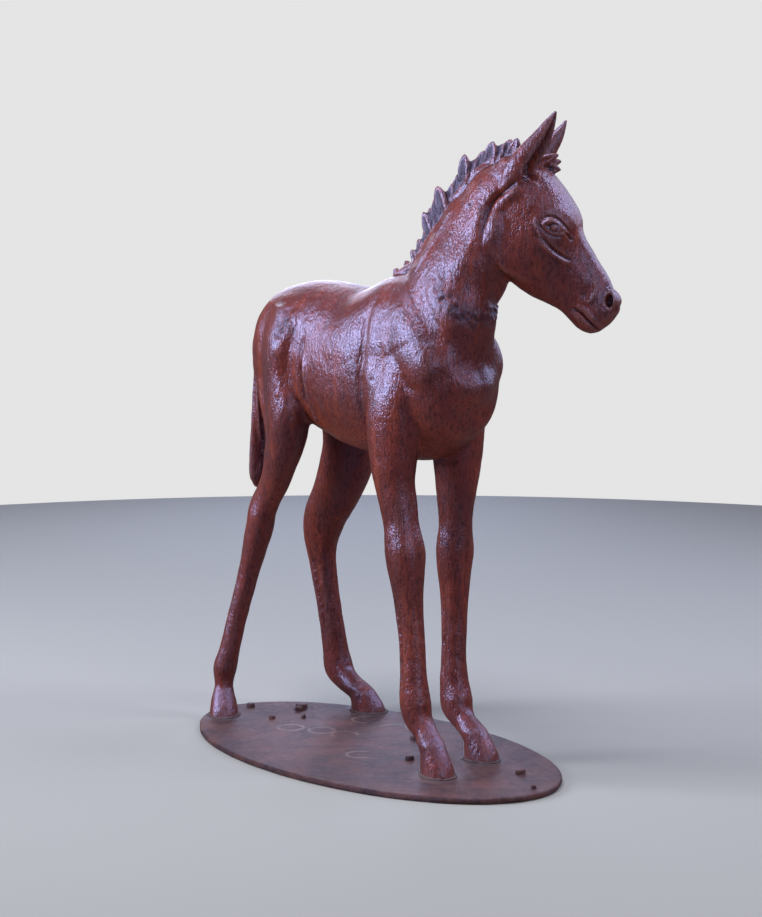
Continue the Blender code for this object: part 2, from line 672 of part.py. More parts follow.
def make_foal(figure, helpers):
    """The whole animal, cast in one: its forms are fused into one skin and cut flat at the soles."""
    body = body_mesh()
    mesh = bmesh.new()
    mesh.from_mesh(body)
    bpy.data.meshes.remove(body)
    add_mane(mesh)
    add_forelock(mesh)
    add_pair(mesh, FLANK_FOLD)
    for ear in (RIGHT_EAR, LEFT_EAR):
        add_loft(mesh, ear_points(ear), HEAD_LEFT)
    for path in (BROW, UPPER_LID, LOWER_LID, CHEEK_RIDGE, NOSTRIL_FOLD):
        add_face_path(mesh, path)
    along, off, radius = NOSTRIL
    for hand in (1, -1):
        middle = on_cheek(hand, along, off, -NOSTRIL_DEPTH)
        add_ball(mesh, middle, radius, radius, radius * 1.1, DOWN_FACE)
    foal = new_object("foal", mesh, figure)
    foal.data.materials.append(cast_iron("waxed_cast_iron", (0.13, 0.035, 0.022), 0.35))
    add_skin(foal, SKIN_VOXEL, SKIN_SMOOTHING)

    cutter = new_object("carving_cutter", carving_mesh(), helpers)
    eyes = new_object("eyeballs_guide", eyes_mesh(), helpers)
    bpy.ops.mesh.primitive_cube_add(size=1.0)
    floor = bpy.context.object
    floor.name = "floor_cutter"
    floor.dimensions = (2 * PLATE_LENGTH, 2 * PLATE_LENGTH, 4 * UNIT)
    floor.location = (0, 0, -2 * UNIT)
    move_to(floor, helpers)
    for helper in (cutter, eyes, floor):
        make_guide(helper)

    fewer = foal.modifiers.new("fewer", "DECIMATE")
    fewer.ratio = SKIN_SHARE
    carve = foal.modifiers.new("carve", "BOOLEAN")
    carve.operation = "DIFFERENCE"
    carve.object = cutter
    fill = foal.modifiers.new("eyes", "BOOLEAN")
    fill.operation = "UNION"
    fill.object = eyes
    trim = foal.modifiers.new("flat_soles", "BOOLEAN")
    trim.operation = "DIFFERENCE"
    trim.object = floor

    stand = bpy.data.objects.new("stand", None)
    figure.objects.link(stand)
    stand.location = (0, STAND_ASIDE * UNIT, PLATE_THICKNESS + WELD_GAP)
    stand.rotation_euler = (0, 0, STAND_TURN)
    for thing in (foal, cutter, eyes, floor):
        thing.parent = stand


def make_plate(figure, helpers):
    """The oval plate with an eased rim and the stubs of old welds on it."""
    bpy.ops.mesh.primitive_cylinder_add(vertices=PLATE_POINTS, radius=0.5, depth=1.0)
    plate = bpy.context.object
    plate.name = "base_plate"
    plate.location = (0, 0, PLATE_THICKNESS / 2)
    for vertex in plate.data.vertices:
        vertex.co.x *= PLATE_LENGTH
        vertex.co.y *= PLATE_WIDTH
        vertex.co.z *= PLATE_THICKNESS
    move_to(plate, figure)
    plate.data.materials.append(cast_iron("plate_iron", (0.11, 0.05, 0.045), 0.6))
    rim = plate.modifiers.new("rim", "BEVEL")
    rim.width = min(PLATE_EDGE_RADIUS, PLATE_THICKNESS * 0.4)
    rim.segments = 2
    rim.limit_method = "ANGLE"
    rim.angle_limit = math.radians(60)

    stubs = bpy.data.collections.new("stubs")
    helpers.children.link(stubs)
    for count, (along, aside, size) in enumerate(STUBS):
        radius = STUB_RADIUS * size
        height = STUB_HEIGHT * (0.6 + 0.4 * size)
        bpy.ops.mesh.primitive_cone_add(vertices=8, radius1=radius, radius2=radius * 0.55, depth=height)
        stub = bpy.context.object
        stub.name = f"stub_cutter_{count + 1}"
        place = (along * PLATE_LENGTH / 2, aside * PLATE_WIDTH / 2)
        stub.location = (*place, PLATE_THICKNESS + height * 0.3)
        stub.rotation_euler = (0, 0, count)
        move_to(stub, stubs)
        make_guide(stub)
    fuse = plate.modifiers.new("stubs", "BOOLEAN")
    fuse.operation = "UNION"
    fuse.operand_type = "COLLECTION"
    fuse.collection = stubs


def main():
    clear_scene()
    figure = new_collection("cast_iron_foal")
    helpers = new_collection("cutters")
    make_foal(figure, helpers)
    make_plate(figure, helpers)


main()
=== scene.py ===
"""A life-size cast iron foal, welded by its hooves to an oval plate, with its relief, rust and wax."""

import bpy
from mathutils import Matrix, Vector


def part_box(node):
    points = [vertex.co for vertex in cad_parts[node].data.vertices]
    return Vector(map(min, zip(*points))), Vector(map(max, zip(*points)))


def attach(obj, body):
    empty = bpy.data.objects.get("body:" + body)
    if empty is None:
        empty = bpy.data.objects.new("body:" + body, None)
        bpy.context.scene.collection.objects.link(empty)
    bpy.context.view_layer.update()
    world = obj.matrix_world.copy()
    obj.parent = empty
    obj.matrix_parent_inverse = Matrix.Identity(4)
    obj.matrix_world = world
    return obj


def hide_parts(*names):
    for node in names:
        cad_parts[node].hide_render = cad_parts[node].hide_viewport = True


bl_info = {
    "name": "Cast Iron Foal",
    "version": (1, 0, 0),
    "blender": (4, 5, 0),
    "location": "3D View > Sidebar > Foal",
    "description": "Casts a rusted and waxed iron foal and lays the oval plate that it is welded to",
    "category": "Object",
}

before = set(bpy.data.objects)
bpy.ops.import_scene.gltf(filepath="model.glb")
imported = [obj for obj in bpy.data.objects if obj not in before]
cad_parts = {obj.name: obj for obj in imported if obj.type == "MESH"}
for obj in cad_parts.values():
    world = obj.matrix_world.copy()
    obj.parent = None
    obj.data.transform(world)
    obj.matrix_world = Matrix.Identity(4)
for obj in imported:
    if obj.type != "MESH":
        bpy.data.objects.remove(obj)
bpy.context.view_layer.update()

from math import cos, radians, sin

import bmesh
import bpy
import numpy as np
from bpy.props import FloatProperty, FloatVectorProperty, IntProperty, PointerProperty
from mathutils import Vector


def as_lists(box):
    """A box's two corners as plain lists of numbers."""
    return [[float(value) for value in corner] for corner in box]


PLATE_HIGH = as_lists(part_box("base_plate"))[1]

# The figure is laid out in hundredths of its height: x forward, y to its left, z above the plate.
UNIT = 0.0119  # metres
PLATE_TOP = 0.012  # metres
STAND_ASIDE = 4.3  # how far to its left of the plate's middle the figure stands
STAND_TURN = radians(-4.3)
LEFTWARD, UPWARD = np.eye(3)[1:]

# The barrel: x, z of the back, z of the belly, half width
TRUNK = [
    (-34.4, 63.5, 60.5, 1.2),
    (-33.6, 66.4, 56.5, 4.0),
    (-31.5, 69.0, 53.0, 6.0),
    (-28.5, 70.9, 51.5, 7.4),
    (-24.5, 72.4, 50.8, 8.3),
    (-19.0, 73.4, 50.0, 8.6),
    (-12.5, 73.1, 48.4, 8.6),
    (-6.0, 72.5, 46.8, 9.1),
    (0.0, 73.8, 46.2, 9.2),
    (5.5, 75.4, 46.3, 8.5),
    (11.5, 75.2, 47.0, 7.9),
    (16.0, 72.5, 49.4, 7.4),
    (19.2, 69.0, 53.4, 6.0),
    (20.9, 66.0, 56.5, 4.0),
    (21.4, 63.5, 59.5, 1.2),
]
TRUNK_TAPER = -0.04
# The neck: x, y, z of the middle, half depth from crest to throat, half width, taper towards the crest
NECK = [
    (12.0, 0.0, 65.0, 9.6, 6.2, -0.1),
    (13.2, 0.1, 70.0, 9.6, 5.8, -0.15),
    (14.1, 0.5, 74.3, 8.8, 5.0, -0.2),
    (15.7, 1.4, 77.9, 7.9, 4.5, -0.25),
    (17.1, 2.3, 80.7, 7.6, 4.2, -0.25),
    (19.0, 3.3, 83.5, 7.3, 4.1, -0.2),
    (20.4, 4.0, 86.6, 5.8, 3.9, -0.15),
    (22.6, 4.7, 88.8, 4.3, 3.6, -0.1),
    (25.0, 5.8, 90.2, 2.6, 2.8, 0.0),
]
# The windpipe's swell: x, y, z, half depth, half width
THROAT = [
    (18.0, 2.4, 70.0, 1.8, 1.7),
    (19.6, 3.7, 73.5, 2.4, 1.9),
    (20.3, 4.3, 76.0, 2.5, 2.0),
    (21.4, 5.0, 79.5, 2.2, 2.0),
]
# The head hangs from the poll, in a plane turned to the foal's left.
POLL = np.array((23.1, 4.95, 93.2))
HEAD_HEADING = radians(40.3)
HEAD_SLOPE = radians(52.0)
# Along the head, height of the face line, height of the jaw line, half width, taper towards the jaw
HEAD = [
    (-0.8, -0.4, -3.6, 1.6, 0.0),
    (0.8, 0.9, -4.8, 3.0, 0.0),
    (2.6, 2.2, -5.4, 3.9, 0.05),
    (4.4, 3.5, -6.2, 4.4, 0.1),
    (6.4, 4.1, -7.9, 4.6, 0.2),
    (8.6, 4.2, -10.0, 4.7, 0.25),
    (11.0, 3.5, -11.3, 4.8, 0.28),
    (13.6, 2.6, -11.6, 4.5, 0.28),
    (16.4, 1.9, -10.7, 3.7, 0.2),
    (19.2, 1.4, -9.3, 3.0, 0.1),
    (22.0, 0.9, -8.1, 2.6, 0.0),
    (24.6, 0.4, -7.8, 2.6, 0.05),
    (26.6, -0.1, -7.6, 2.6, 0.1),
    (27.9, -1.1, -6.9, 2.0, 0.1),
    (28.6, -2.6, -5.4, 0.8, 0.0),
]
# Ears, from the poll: forward along the head's heading, left, up, half breadth, half thickness
RIGHT_EAR = [
    (0.6, -2.3, -6.0, 0.8, 0.7),
    (0.9, -2.9, -4.4, 1.9, 1.5),
    (1.7, -3.3, -2.0, 2.3, 1.7),
    (3.3, -3.7, 0.5, 1.95, 1.45),
    (5.0, -4.1, 2.7, 1.5, 1.1),
    (6.3, -4.4, 4.8, 0.95, 0.7),
    (7.4, -4.5, 6.9, 0.2, 0.2),
]
LEFT_EAR = [
    (0.6, 2.3, -6.0, 0.8, 0.7),
    (0.9, 2.9, -4.4, 1.9, 1.5),
    (1.8, 3.3, -2.2, 2.3, 1.7),
    (3.5, 3.7, -0.1, 1.95, 1.45),
    (5.2, 4.0, 1.9, 1.4, 1.1),
    (6.5, 4.3, 3.8, 0.85, 0.7),
    (7.5, 4.5, 5.7, 0.2, 0.2),
]
# Locks of the mane: x, z at the crest, x, z at the tip, half breadth
MANE = [
    (23.0, 93.2, 24.9, 96.2, 1.3),
    (20.9, 93.0, 22.6, 96.0, 1.6),
    (18.9, 92.6, 20.0, 95.8, 1.7),
    (16.4, 91.7, 17.3, 94.4, 1.4),
    (13.9, 89.9, 14.2, 93.8, 1.6),
    (12.1, 87.7, 12.5, 91.0, 1.3),
    (10.4, 85.4, 9.1, 89.0, 1.7),
    (9.4, 83.2, 7.8, 87.0, 1.4),
    (8.6, 81.2, 6.8, 85.0, 1.3),
    (7.9, 79.4, 6.3, 82.2, 1.2),
    (6.2, 77.3, 4.8, 79.1, 0.9),
    (3.6, 76.0, 2.2, 77.2, 0.8),
    (1.6, 75.2, 0.7, 75.9, 0.6),
]
LOCK_THICKNESS = 0.78  # half of it, at the root
BETWEEN_THICKNESS = 0.7  # the same, of the locks that fill the gaps
LOCK_SINK = 1.6  # how deep a lock's root goes under the crest
LOCK_LEAN = 0.5  # how far every other lock leans to its side
LOCK_GROOVE = 0.55  # how far the middle of its faces is pressed in
# The crest line that the mane stands on: x, y, z
CREST = [
    (1.0, 0.0, 75.0),
    (6.1, 0.3, 77.3),
    (8.3, 1.0, 80.0),
    (9.85, 1.8, 82.7),
    (11.8, 2.7, 86.3),
    (14.0, 3.5, 89.2),
    (17.1, 4.1, 91.4),
    (20.0, 4.7, 92.6),
    (23.0, 5.2, 93.0),
]
# Locks over the forehead, in the head's frame: along, side, off at the root and at the tip
FORELOCK = [
    ((2.8, -0.8, 2.0), (4.0, -1.0, 6.1)),
    ((3.2, 0.7, 2.4), (4.9, 0.6, 5.6)),
    ((3.8, 0.0, 2.8), (6.0, -0.1, 4.9)),
]
FORELOCK_SIZE = (0.9, 0.8)  # half breadth, half thickness
FORELOCK_SINK = 0.8

# Legs, from the body down: x, y, z, half depth, half width
RIGHT_FORELEG = [
    (10.0, -4.8, 63.0, 5.2, 3.0),
    (9.0, -6.0, 57.5, 5.2, 3.5),
    (8.6, -6.5, 52.0, 5.0, 3.6),
    (8.9, -6.5, 47.0, 4.4, 3.3),
    (9.3, -6.5, 43.5, 3.7, 2.9),
    (10.2, -6.4, 39.6, 3.35, 2.7),
    (10.8, -6.4, 37.1, 3.15, 2.5),
    (11.4, -6.4, 34.7, 3.3, 2.8),
    (11.8, -6.4, 32.9, 3.4, 2.95),
    (12.1, -6.4, 30.6, 3.25, 2.75),
    (12.5, -6.4, 27.5, 2.95, 2.25),
    (13.0, -6.4, 23.5, 2.6, 1.95),
    (13.8, -6.5, 18.5, 2.45, 1.85),
    (14.4, -6.7, 14.0, 2.55, 1.9),
    (15.0, -6.8, 10.4, 2.9, 2.25),
    (15.8, -6.9, 8.0, 2.5, 2.15),
    (17.5, -6.9, 6.2, 1.85, 1.9),
    (18.8, -7.0, 4.8, 1.8, 1.95),
    (19.8, -7.0, 3.6, 1.95, 2.1),
]
LEFT_FORELEG = [
    (9.5, 4.8, 63.0, 5.2, 3.0),
    (8.6, 6.0, 57.5, 5.2, 3.5),
    (8.2, 6.4, 51.0, 4.9, 3.6),
    (8.2, 6.4, 45.8, 4.3, 3.3),
    (8.1, 6.4, 42.0, 3.7, 2.85),
    (8.0, 6.3, 38.2, 3.1, 2.5),
    (8.0, 6.3, 35.6, 2.95, 2.4),
    (7.9, 6.3, 33.2, 3.1, 2.75),
    (7.9, 6.3, 31.4, 3.2, 2.85),
    (8.0, 6.1, 29.0, 3.05, 2.55),
    (8.2, 6.0, 25.8, 2.7, 2.05),
    (8.4, 5.8, 21.5, 2.35, 1.8),
    (8.8, 5.4, 16.5, 2.3, 1.75),
    (9.1, 5.2, 12.6, 2.45, 1.9),
    (9.5, 5.1, 9.8, 2.7, 2.1),
    (10.3, 4.9, 7.5, 2.95, 2.3),
    (11.3, 4.8, 6.2, 2.4, 2.1),
    (12.7, 4.7, 5.1, 1.8, 1.8),
    (14.3, 4.6, 4.2, 1.85, 1.9),
    (15.9, 4.5, 3.3, 1.9, 2.05),
]
RIGHT_HIND_LEG = [
    (-23.5, -4.0, 69.0, 5.8, 2.4),
    (-24.0, -4.9, 63.0, 8.0, 3.4),
    (-23.2, -5.4, 57.0, 7.0, 3.5),
    (-21.3, -5.8, 52.0, 6.4, 3.6),
    (-21.6, -5.9, 48.0, 5.5, 3.4),
    (-22.9, -6.0, 44.5, 4.9, 2.95),
    (-24.6, -6.0, 40.8, 4.1, 2.5),
    (-26.7, -6.1, 37.6, 3.65, 2.2),
    (-28.5, -6.2, 34.8, 4.0, 2.4),
    (-29.1, -6.3, 32.2, 3.8, 2.35),
    (-29.8, -6.9, 28.4, 3.05, 2.1),
    (-30.7, -7.6, 24.2, 2.5, 1.8),
    (-31.8, -8.7, 18.5, 2.25, 1.65),
    (-32.6, -9.8, 12.8, 2.3, 1.65),
    (-33.2, -10.3, 9.8, 2.5, 1.8),
    (-33.7, -10.6, 7.6, 2.8, 2.0),
    (-33.4, -11.0, 5.6, 1.9, 1.7),
    (-33.1, -11.2, 4.2, 1.75, 1.55),
    (-32.9, -11.4, 3.1, 2.0, 1.9),
]
LEFT_HIND_LEG = [
    (-23.5, 4.0, 69.0, 5.8, 2.4),
    (-23.5, 4.9, 63.0, 8.0, 3.4),
    (-21.5, 5.4, 56.5, 7.0, 3.5),
    (-19.9, 5.8, 50.5, 5.8, 3.5),
    (-20.4, 6.0, 45.4, 5.1, 3.3),
    (-22.3, 6.0, 41.0, 4.8, 2.95),
    (-24.6, 6.0, 37.2, 4.4, 2.65),
    (-27.3, 6.1, 33.8, 4.0, 2.45),
    (-29.1, 6.3, 31.0, 3.8, 2.4),
    (-30.0, 6.6, 28.2, 3.2, 2.2),
    (-30.0, 6.9, 24.8, 2.6, 1.85),
    (-29.3, 7.3, 19.5, 2.3, 1.65),
    (-28.5, 7.8, 13.8, 2.35, 1.65),
    (-28.0, 8.2, 9.4, 2.5, 1.75),
    (-27.3, 8.4, 6.4, 2.75, 1.95),
    (-25.7, 8.6, 4.7, 2.2, 1.9),
    (-23.4, 8.7, 3.7, 1.9, 1.85),
    (-20.9, 8.8, 2.9, 1.9, 1.95),
]
# How far each toe points out from straight ahead
FORE_TOE = radians(4.0)
RIGHT_HIND_TOE = radians(32.0)
LEFT_HIND_TOE = radians(22.0)
LEGS = [
    (RIGHT_FORELEG, -FORE_TOE),
    (LEFT_FORELEG, FORE_TOE),
    (RIGHT_HIND_LEG, -RIGHT_HIND_TOE),
    (LEFT_HIND_LEG, LEFT_HIND_TOE),
]
HOOF_REACH = 1.25  # from the last leg station forward to the middle of the sole
HOOF_HALF_LENGTH = 3.2
HOOF_HALF_WIDTH = 2.5
HOOF_SINK = 0.8  # how far the loft goes under the plate's top, where the skin is cut level
LOWER_LEG_TOP = 46.0  # height below which tendons, bones and coronets are looked for

# Muscles on both sides: x, y of the left one, z, half depth, half width
SHOULDER_BLADE = [
    (4.0, 2.4, 73.6, 1.8, 0.8),
    (7.5, 5.2, 69.5, 4.0, 1.5),
    (11.8, 6.0, 65.0, 4.9, 2.0),
    (15.6, 6.1, 61.0, 4.2, 2.0),
    (17.2, 5.8, 58.4, 2.0, 1.4),
]
TRICEPS = [
    (4.8, 5.6, 66.0, 1.5, 1.0),
    (5.4, 6.9, 61.5, 2.6, 1.8),
    (5.9, 7.2, 56.5, 2.7, 1.9),
    (6.4, 6.8, 51.5, 1.8, 1.5),
]
BREAST = [
    (18.5, 2.2, 66.0, 1.8, 1.7),
    (18.8, 2.4, 61.5, 2.1, 2.1),
    (17.5, 2.4, 57.0, 2.2, 2.1),
    (14.5, 2.4, 52.0, 2.1, 1.9),
]
BUTTOCK = [
    (-28.3, 2.5, 66.8, 2.2, 1.7),
    (-29.2, 4.2, 62.5, 3.2, 2.6),
    (-27.6, 5.1, 56.0, 2.7, 2.2),
    (-25.0, 5.7, 50.0, 2.3, 2.0),
    (-25.2, 5.8, 45.0, 1.6, 1.4),
]
HIP = [
    (-18.4, 4.4, 69.4, 1.0, 0.8),
    (-16.8, 6.3, 68.0, 1.6, 1.2),
    (-17.4, 7.8, 65.5, 1.6, 1.0),
    (-18.5, 7.6, 61.5, 1.2, 0.8),
]
FLANK_FOLD = [
    (-14.0, 7.7, 64.5, 0.5, 0.5),
    (-12.6, 8.2, 60.0, 0.9, 0.8),
    (-11.6, 7.8, 55.5, 0.9, 0.8),
    (-11.4, 6.6, 51.5, 0.6, 0.7),
]
BREAST_MIDDLE = [
    (18.4, 0.0, 67.0, 1.6, 1.9),
    (19.7, 0.0, 62.5, 1.9, 2.4),
    (18.7, 0.0, 57.5, 2.0, 2.5),
    (15.8, 0.0, 52.5, 1.9, 2.3),
]
# The tail, from its root down: x, y, z, half depth, half width
TAIL = [
    (-30.0, 0.0, 68.6, 2.2, 1.8),
    (-33.0, 0.0, 66.8, 2.4, 2.0),
    (-35.0, -0.2, 62.5, 2.3, 1.9),
    (-36.3, -0.5, 56.5, 1.7, 1.8),
    (-37.0, -0.9, 48.0, 1.3, 1.7),
    (-37.5, -1.2, 41.0, 1.3, 1.65),
    (-37.8, -1.3, 38.4, 1.1, 1.3),
    (-37.8, -1.3, 36.9, 0.3, 0.4),
]
CHEEK_DEPTH = 0.8  # from the skin in to the middle of the cheek's muscle
# The cheek: along and off on the head, half height, half width
CHEEK = [
    (5.6, -4.4, 1.6, 0.6),
    (8.0, -6.2, 3.4, 1.2),
    (11.5, -7.3, 3.9, 1.4),
    (15.0, -7.0, 2.8, 1.0),
    (17.5, -6.6, 1.0, 0.4),
]

# Raised and cut lines of the head, on both of its sides: along and off at each point, half width,
# height off the skin. A line with a height below 0 is cut in.
HEAD_LINES = [
    ([(10.3, -1.2), (10.8, 0.2), (12.0, 0.85), (13.6, 0.95), (14.8, 0.8)], 0.15, -0.24),
    ([(9.8, 0.4), (10.9, 1.6), (12.6, 2.0), (14.6, 1.7)], 0.5, 0.14),
    ([(14.1, 0.45), (15.5, 0.3)], 0.17, -0.36),
    ([(10.8, -1.95), (12.2, -1.8), (13.5, -1.2), (14.3, -0.3)], 0.16, -0.22),
    ([(9.7, -1.8), (10.3, -2.3), (12.8, -3.0)], 0.11, 0.26),
    ([(12.6, -3.2), (15.2, -3.05), (17.8, -2.2)], 0.26, 0.44),
    ([(13.0, -2.6), (15.4, -2.45), (17.6, -1.75)], 0.2, -0.34),
    ([(3.9, 2.2), (6.6, 3.0), (9.1, 2.6)], 0.7, 0.14),
    ([(15.0, 1.4), (19.6, 0.7), (22.8, 0.5), (24.9, 0.3)], 0.5, 0.2),
    ([(16.2, 0.2), (19.4, -0.5), (21.6, -0.8)], 0.5, -0.18),
    ([(21.9, -0.9), (23.4, -1.5), (24.2, -2.9), (23.9, -3.8)], 0.34, 0.24),
    ([(22.2, -2.1), (22.9, -3.0), (22.8, -4.0)], 0.5, -0.16),
    ([(23.4, -6.0), (24.6, -5.4), (26.5, -5.2), (28.7, -4.9)], 0.2, -0.6),
    ([(23.6, -5.0), (24.8, -4.5), (26.6, -4.4), (28.2, -4.2)], 0.36, 0.16),
    ([(24.4, -6.5), (25.6, -6.1), (27.2, -5.9)], 0.36, 0.12),
    ([(5.2, -1.4), (4.9, -4.6), (6.6, -7.3), (8.8, -9.2), (13.1, -10.4)], 0.7, 0.3),
    ([(3.6, -0.6), (3.6, -3.0), (3.5, -5.4), (5.2, -8.4), (7.2, -10.4)], 0.5, -0.7),
    ([(5.0, -0.8), (6.6, -0.7), (8.0, -1.6)], 0.4, 0.14),
    ([(2.6, 0.4), (4.6, 0.9), (6.6, 1.4)], 0.3, 0.22),
    ([(17.0, -5.2), (19.6, -5.6), (22.0, -5.2)], 0.7, -0.12),
]
# Raised and cut lines of the barrel, neck and upper legs, seen from the side: x, z, then as above
SIDE_LINES = [
    ([(13.2, 76.4), (14.8, 72.1), (19.3, 67.2)], 0.9, -0.24),
    ([(9.2, 63.2), (13.8, 65.0), (20.8, 67.1)], 0.8, -0.12),
    ([(9.6, 60.4), (12.5, 59.9), (16.8, 58.5), (21.0, 62.0)], 0.7, -0.16),
    ([(4.0, 72.4), (3.0, 68.6), (3.4, 65.0), (3.2, 58.5), (3.6, 52.7), (4.6, 47.6)], 0.9, -0.42),
    ([(6.6, 66.8), (8.2, 62.0), (9.2, 57.0)], 0.8, -0.14),
    ([(-13.3, 65.2), (-13.4, 61.0), (-13.2, 56.0), (-12.8, 53.2)], 0.55, -0.48),
    ([(-14.7, 63.4), (-14.7, 57.0), (-14.2, 53.8)], 0.5, 0.16),
    ([(-18.4, 69.6), (-19.2, 65.6), (-18.4, 62.4)], 0.8, -0.2),
    ([(-27.0, 70.0), (-25.6, 64.0), (-25.4, 57.0), (-24.6, 50.0)], 1.0, -0.16),
    ([(-17.0, 55.6), (-19.4, 51.0), (-21.8, 46.6)], 0.8, -0.14),
    ([(16.4, 89.2), (14.2, 84.6), (12.0, 79.4), (10.2, 76.4)], 0.45, 0.2),
    ([(19.8, 88.6), (18.8, 83.6), (18.0, 78.0), (17.6, 73.6)], 1.0, -0.16),
    ([(22.0, 87.4), (21.2, 82.0), (20.4, 76.2)], 0.8, 0.14),
    ([(5.0, 75.2), (8.6, 78.6), (10.4, 82.2), (12.3, 85.6), (14.5, 88.2), (17.4, 90.3), (20.0, 91.4)],
     0.35, 0.26),
]
# The rough seam round the neck, and the rough hollow of the hip: x, z at each point, half width
ROUGH_LINES = [
    ([(16.8, 75.4), (19.0, 72.1), (21.5, 70.1), (24.5, 68.6)], 1.3),
    ([(-17.6, 67.8), (-18.4, 66.2), (-19.0, 64.2)], 1.3),
]
# The breast's middle line, seen from the front: y, z at each point, then as for the sides
FRONT_LINES = [
    ([(0.0, 68.6), (0.0, 62.3), (0.0, 55.4)], 0.6, -0.16),
]
FINE_ABOVE = 75.0  # height above which the faces are cut finer, for the ears and mane
FINE_OFF_FACE = -13.0  # distance off the face beyond which they are too, for the whole head
RELIEF_OFF_FACE = (-13.0, 6.0)  # between these distances off the face its lines are drawn
EYE_CENTRE = (12.5, -0.45)
EYEBALL_RADIUS = 1.15
EYEBALL_DEPTH = 0.8  # from the skin in to the ball's middle
IRIS_RING = (0.6, 0.11, -0.1)  # radius, half width, height
PUPIL_DOME = (0.0, 0.33, 0.08)
LID_HALF = 0.2
# The rim of the lids: along, off
LID_RIM = [(11.1, -1.4), (11.3, -0.35), (12.0, 0.2), (13.0, 0.4), (14.2, 0.45),
           (13.8, -0.35), (13.0, -1.0), (12.0, -1.4)]
NOSTRIL_CENTRE = (25.9, -0.9)
NOSTRIL_SLANT = radians(-38.0)
NOSTRIL_HALVES = (1.0, 0.6)
NOSTRIL_RIM = (1.25, 0.2, 0.2)  # radius against the halves, half width, height
NOSTRIL_PIT = 1.5
NOSTRIL_BULGE = (1.35, 1.3, 1.55)  # half height, half width, half length of the egg under it
NOSTRIL_BULGE_DEPTH = 0.95
EAR_ROOT = (2.3, 1.75, 2.9)  # the same, of the egg at each ear's root
EAR_HOLLOW = 0.95  # its depth, as a share of the ear's half breadth
# Old ring-shaped marks on the plate: x, y, and where each one's arc starts and ends, in turns
RING_MARKS = [
    (-0.216, -0.029, 0.0, 1.0), (-0.158, 0.002, 0.0, 1.0), (-0.104, 0.016, 0.1, 0.75),
    (0.035, -0.061, 0.3, 1.0), (-0.174, 0.125, 0.4, 0.9), (-0.086, 0.126, 0.1, 0.6),
]
RING_RADIUS = 0.025
RING_WAVER = 0.003  # how far the soft noise moves a ring's line
# The studio's soft lights: place, width, share of the light power, colour
LIGHTS = [
    ("face_light", (1.6, 1.4, 2.6), 1.2, 0.45, (0.90, 0.92, 1.0)),
    ("nose_panel", (0.15, 2.6, 2.0), 2.4, 0.4, (0.66, 0.74, 1.0)),
    ("side_panel", (-2.4, -2.5, 1.7), 1.5, 1.65, (0.84, 0.89, 1.0)),
    ("back_panel", (-2.85, 1.7, 1.8), 1.5, 0.3, (0.72, 0.78, 1.0)),
    ("low_panel", (-2.9, 2.5, 1.0), 1.0, 0.12, (0.60, 0.68, 1.0)),
    ("overhead", (-0.3, -0.9, 3.2), 1.2, 0.7, (0.95, 0.95, 1.0)),
    ("fill", (3.2, -1.2, 1.8), 2.2, 0.35, (1.0, 0.94, 0.90)),
]
LIGHT_AIM = (0.0, 0.0, 0.7)
AIR_COLOUR = (0.88, 0.90, 1.0)
AIR_STRENGTH = 0.1
FLOOR_RADIUS = 3.4
# Stubs of old welds and studs on the plate: shares of its half length and half width, size
STUBS = [
    (-0.91, 0.08, 0.9), (-0.745, 0.38, 1.3), (-0.715, 0.31, 0.9), (-0.665, -0.045, 0.7),
    (-0.59, 0.175, 0.5), (0.03, 0.375, 0.8), (0.275, -0.06, 0.9), (0.735, 0.30, 1.0),
    (0.935, 0.08, 0.5),
]
WELD_STAIN = (0.035, 0.06)  # distances from a hoof between which the weld's grey fades
RAISED_ROUNDS = 4  # how often the skin's hollowness is spread to the neighbours
RAISED_SCALE = 0.012  # brings it to about -1 to 1
LATTICE = 48  # seeded values along each side of the soft noise's lattice


def level_heading(angle):
    """The level direction at this angle to the left of straight ahead, and the one to its left."""
    return np.array((cos(angle), sin(angle), 0.0)), np.array((-sin(angle), cos(angle), 0.0))


HEAD_AHEAD, HEAD_LEFT = level_heading(HEAD_HEADING)
DOWN_FACE = HEAD_AHEAD * cos(HEAD_SLOPE) - UPWARD * sin(HEAD_SLOPE)
OFF_FACE = HEAD_AHEAD * sin(HEAD_SLOPE) + UPWARD * cos(HEAD_SLOPE)


def placed(points):
    """The layout's points in metres on the plate: turned by the stand's angle, set aside and raised."""
    x, y, z = np.asarray(points, float).T
    turned = (cos(STAND_TURN) * x - sin(STAND_TURN) * y,
              sin(STAND_TURN) * x + cos(STAND_TURN) * y + STAND_ASIDE, z)
    return np.stack(turned, 1) * UNIT + UPWARD * PLATE_TOP


def laid_out(points):
    """Points in metres on the plate, back in the layout's hundredths."""
    x, y, z = ((points - UPWARD * PLATE_TOP) / UNIT).T
    y = y - STAND_ASIDE
    return np.stack((cos(STAND_TURN) * x + sin(STAND_TURN) * y,
                     -sin(STAND_TURN) * x + cos(STAND_TURN) * y, z), 1)


def turns(count):
    """This many angles once round, evenly spaced from 0."""
    return np.linspace(0, 2 * np.pi, count, endpoint=False)


def bell(distance, half_width):
    """exp(-(distance / half width)^2)."""
    return np.exp(-(distance / half_width) ** 2)


def unit(vectors):
    """Vectors over their own lengths."""
    return vectors / np.maximum(np.linalg.norm(vectors, axis=-1, keepdims=True), 1e-9)


def eased(value, low, high):
    """3t^2 - 2t^3, where t runs from 0 at low to 1 at high."""
    t = np.clip((value - low) / (high - low), 0.0, 1.0)
    return t * t * (3 - 2 * t)


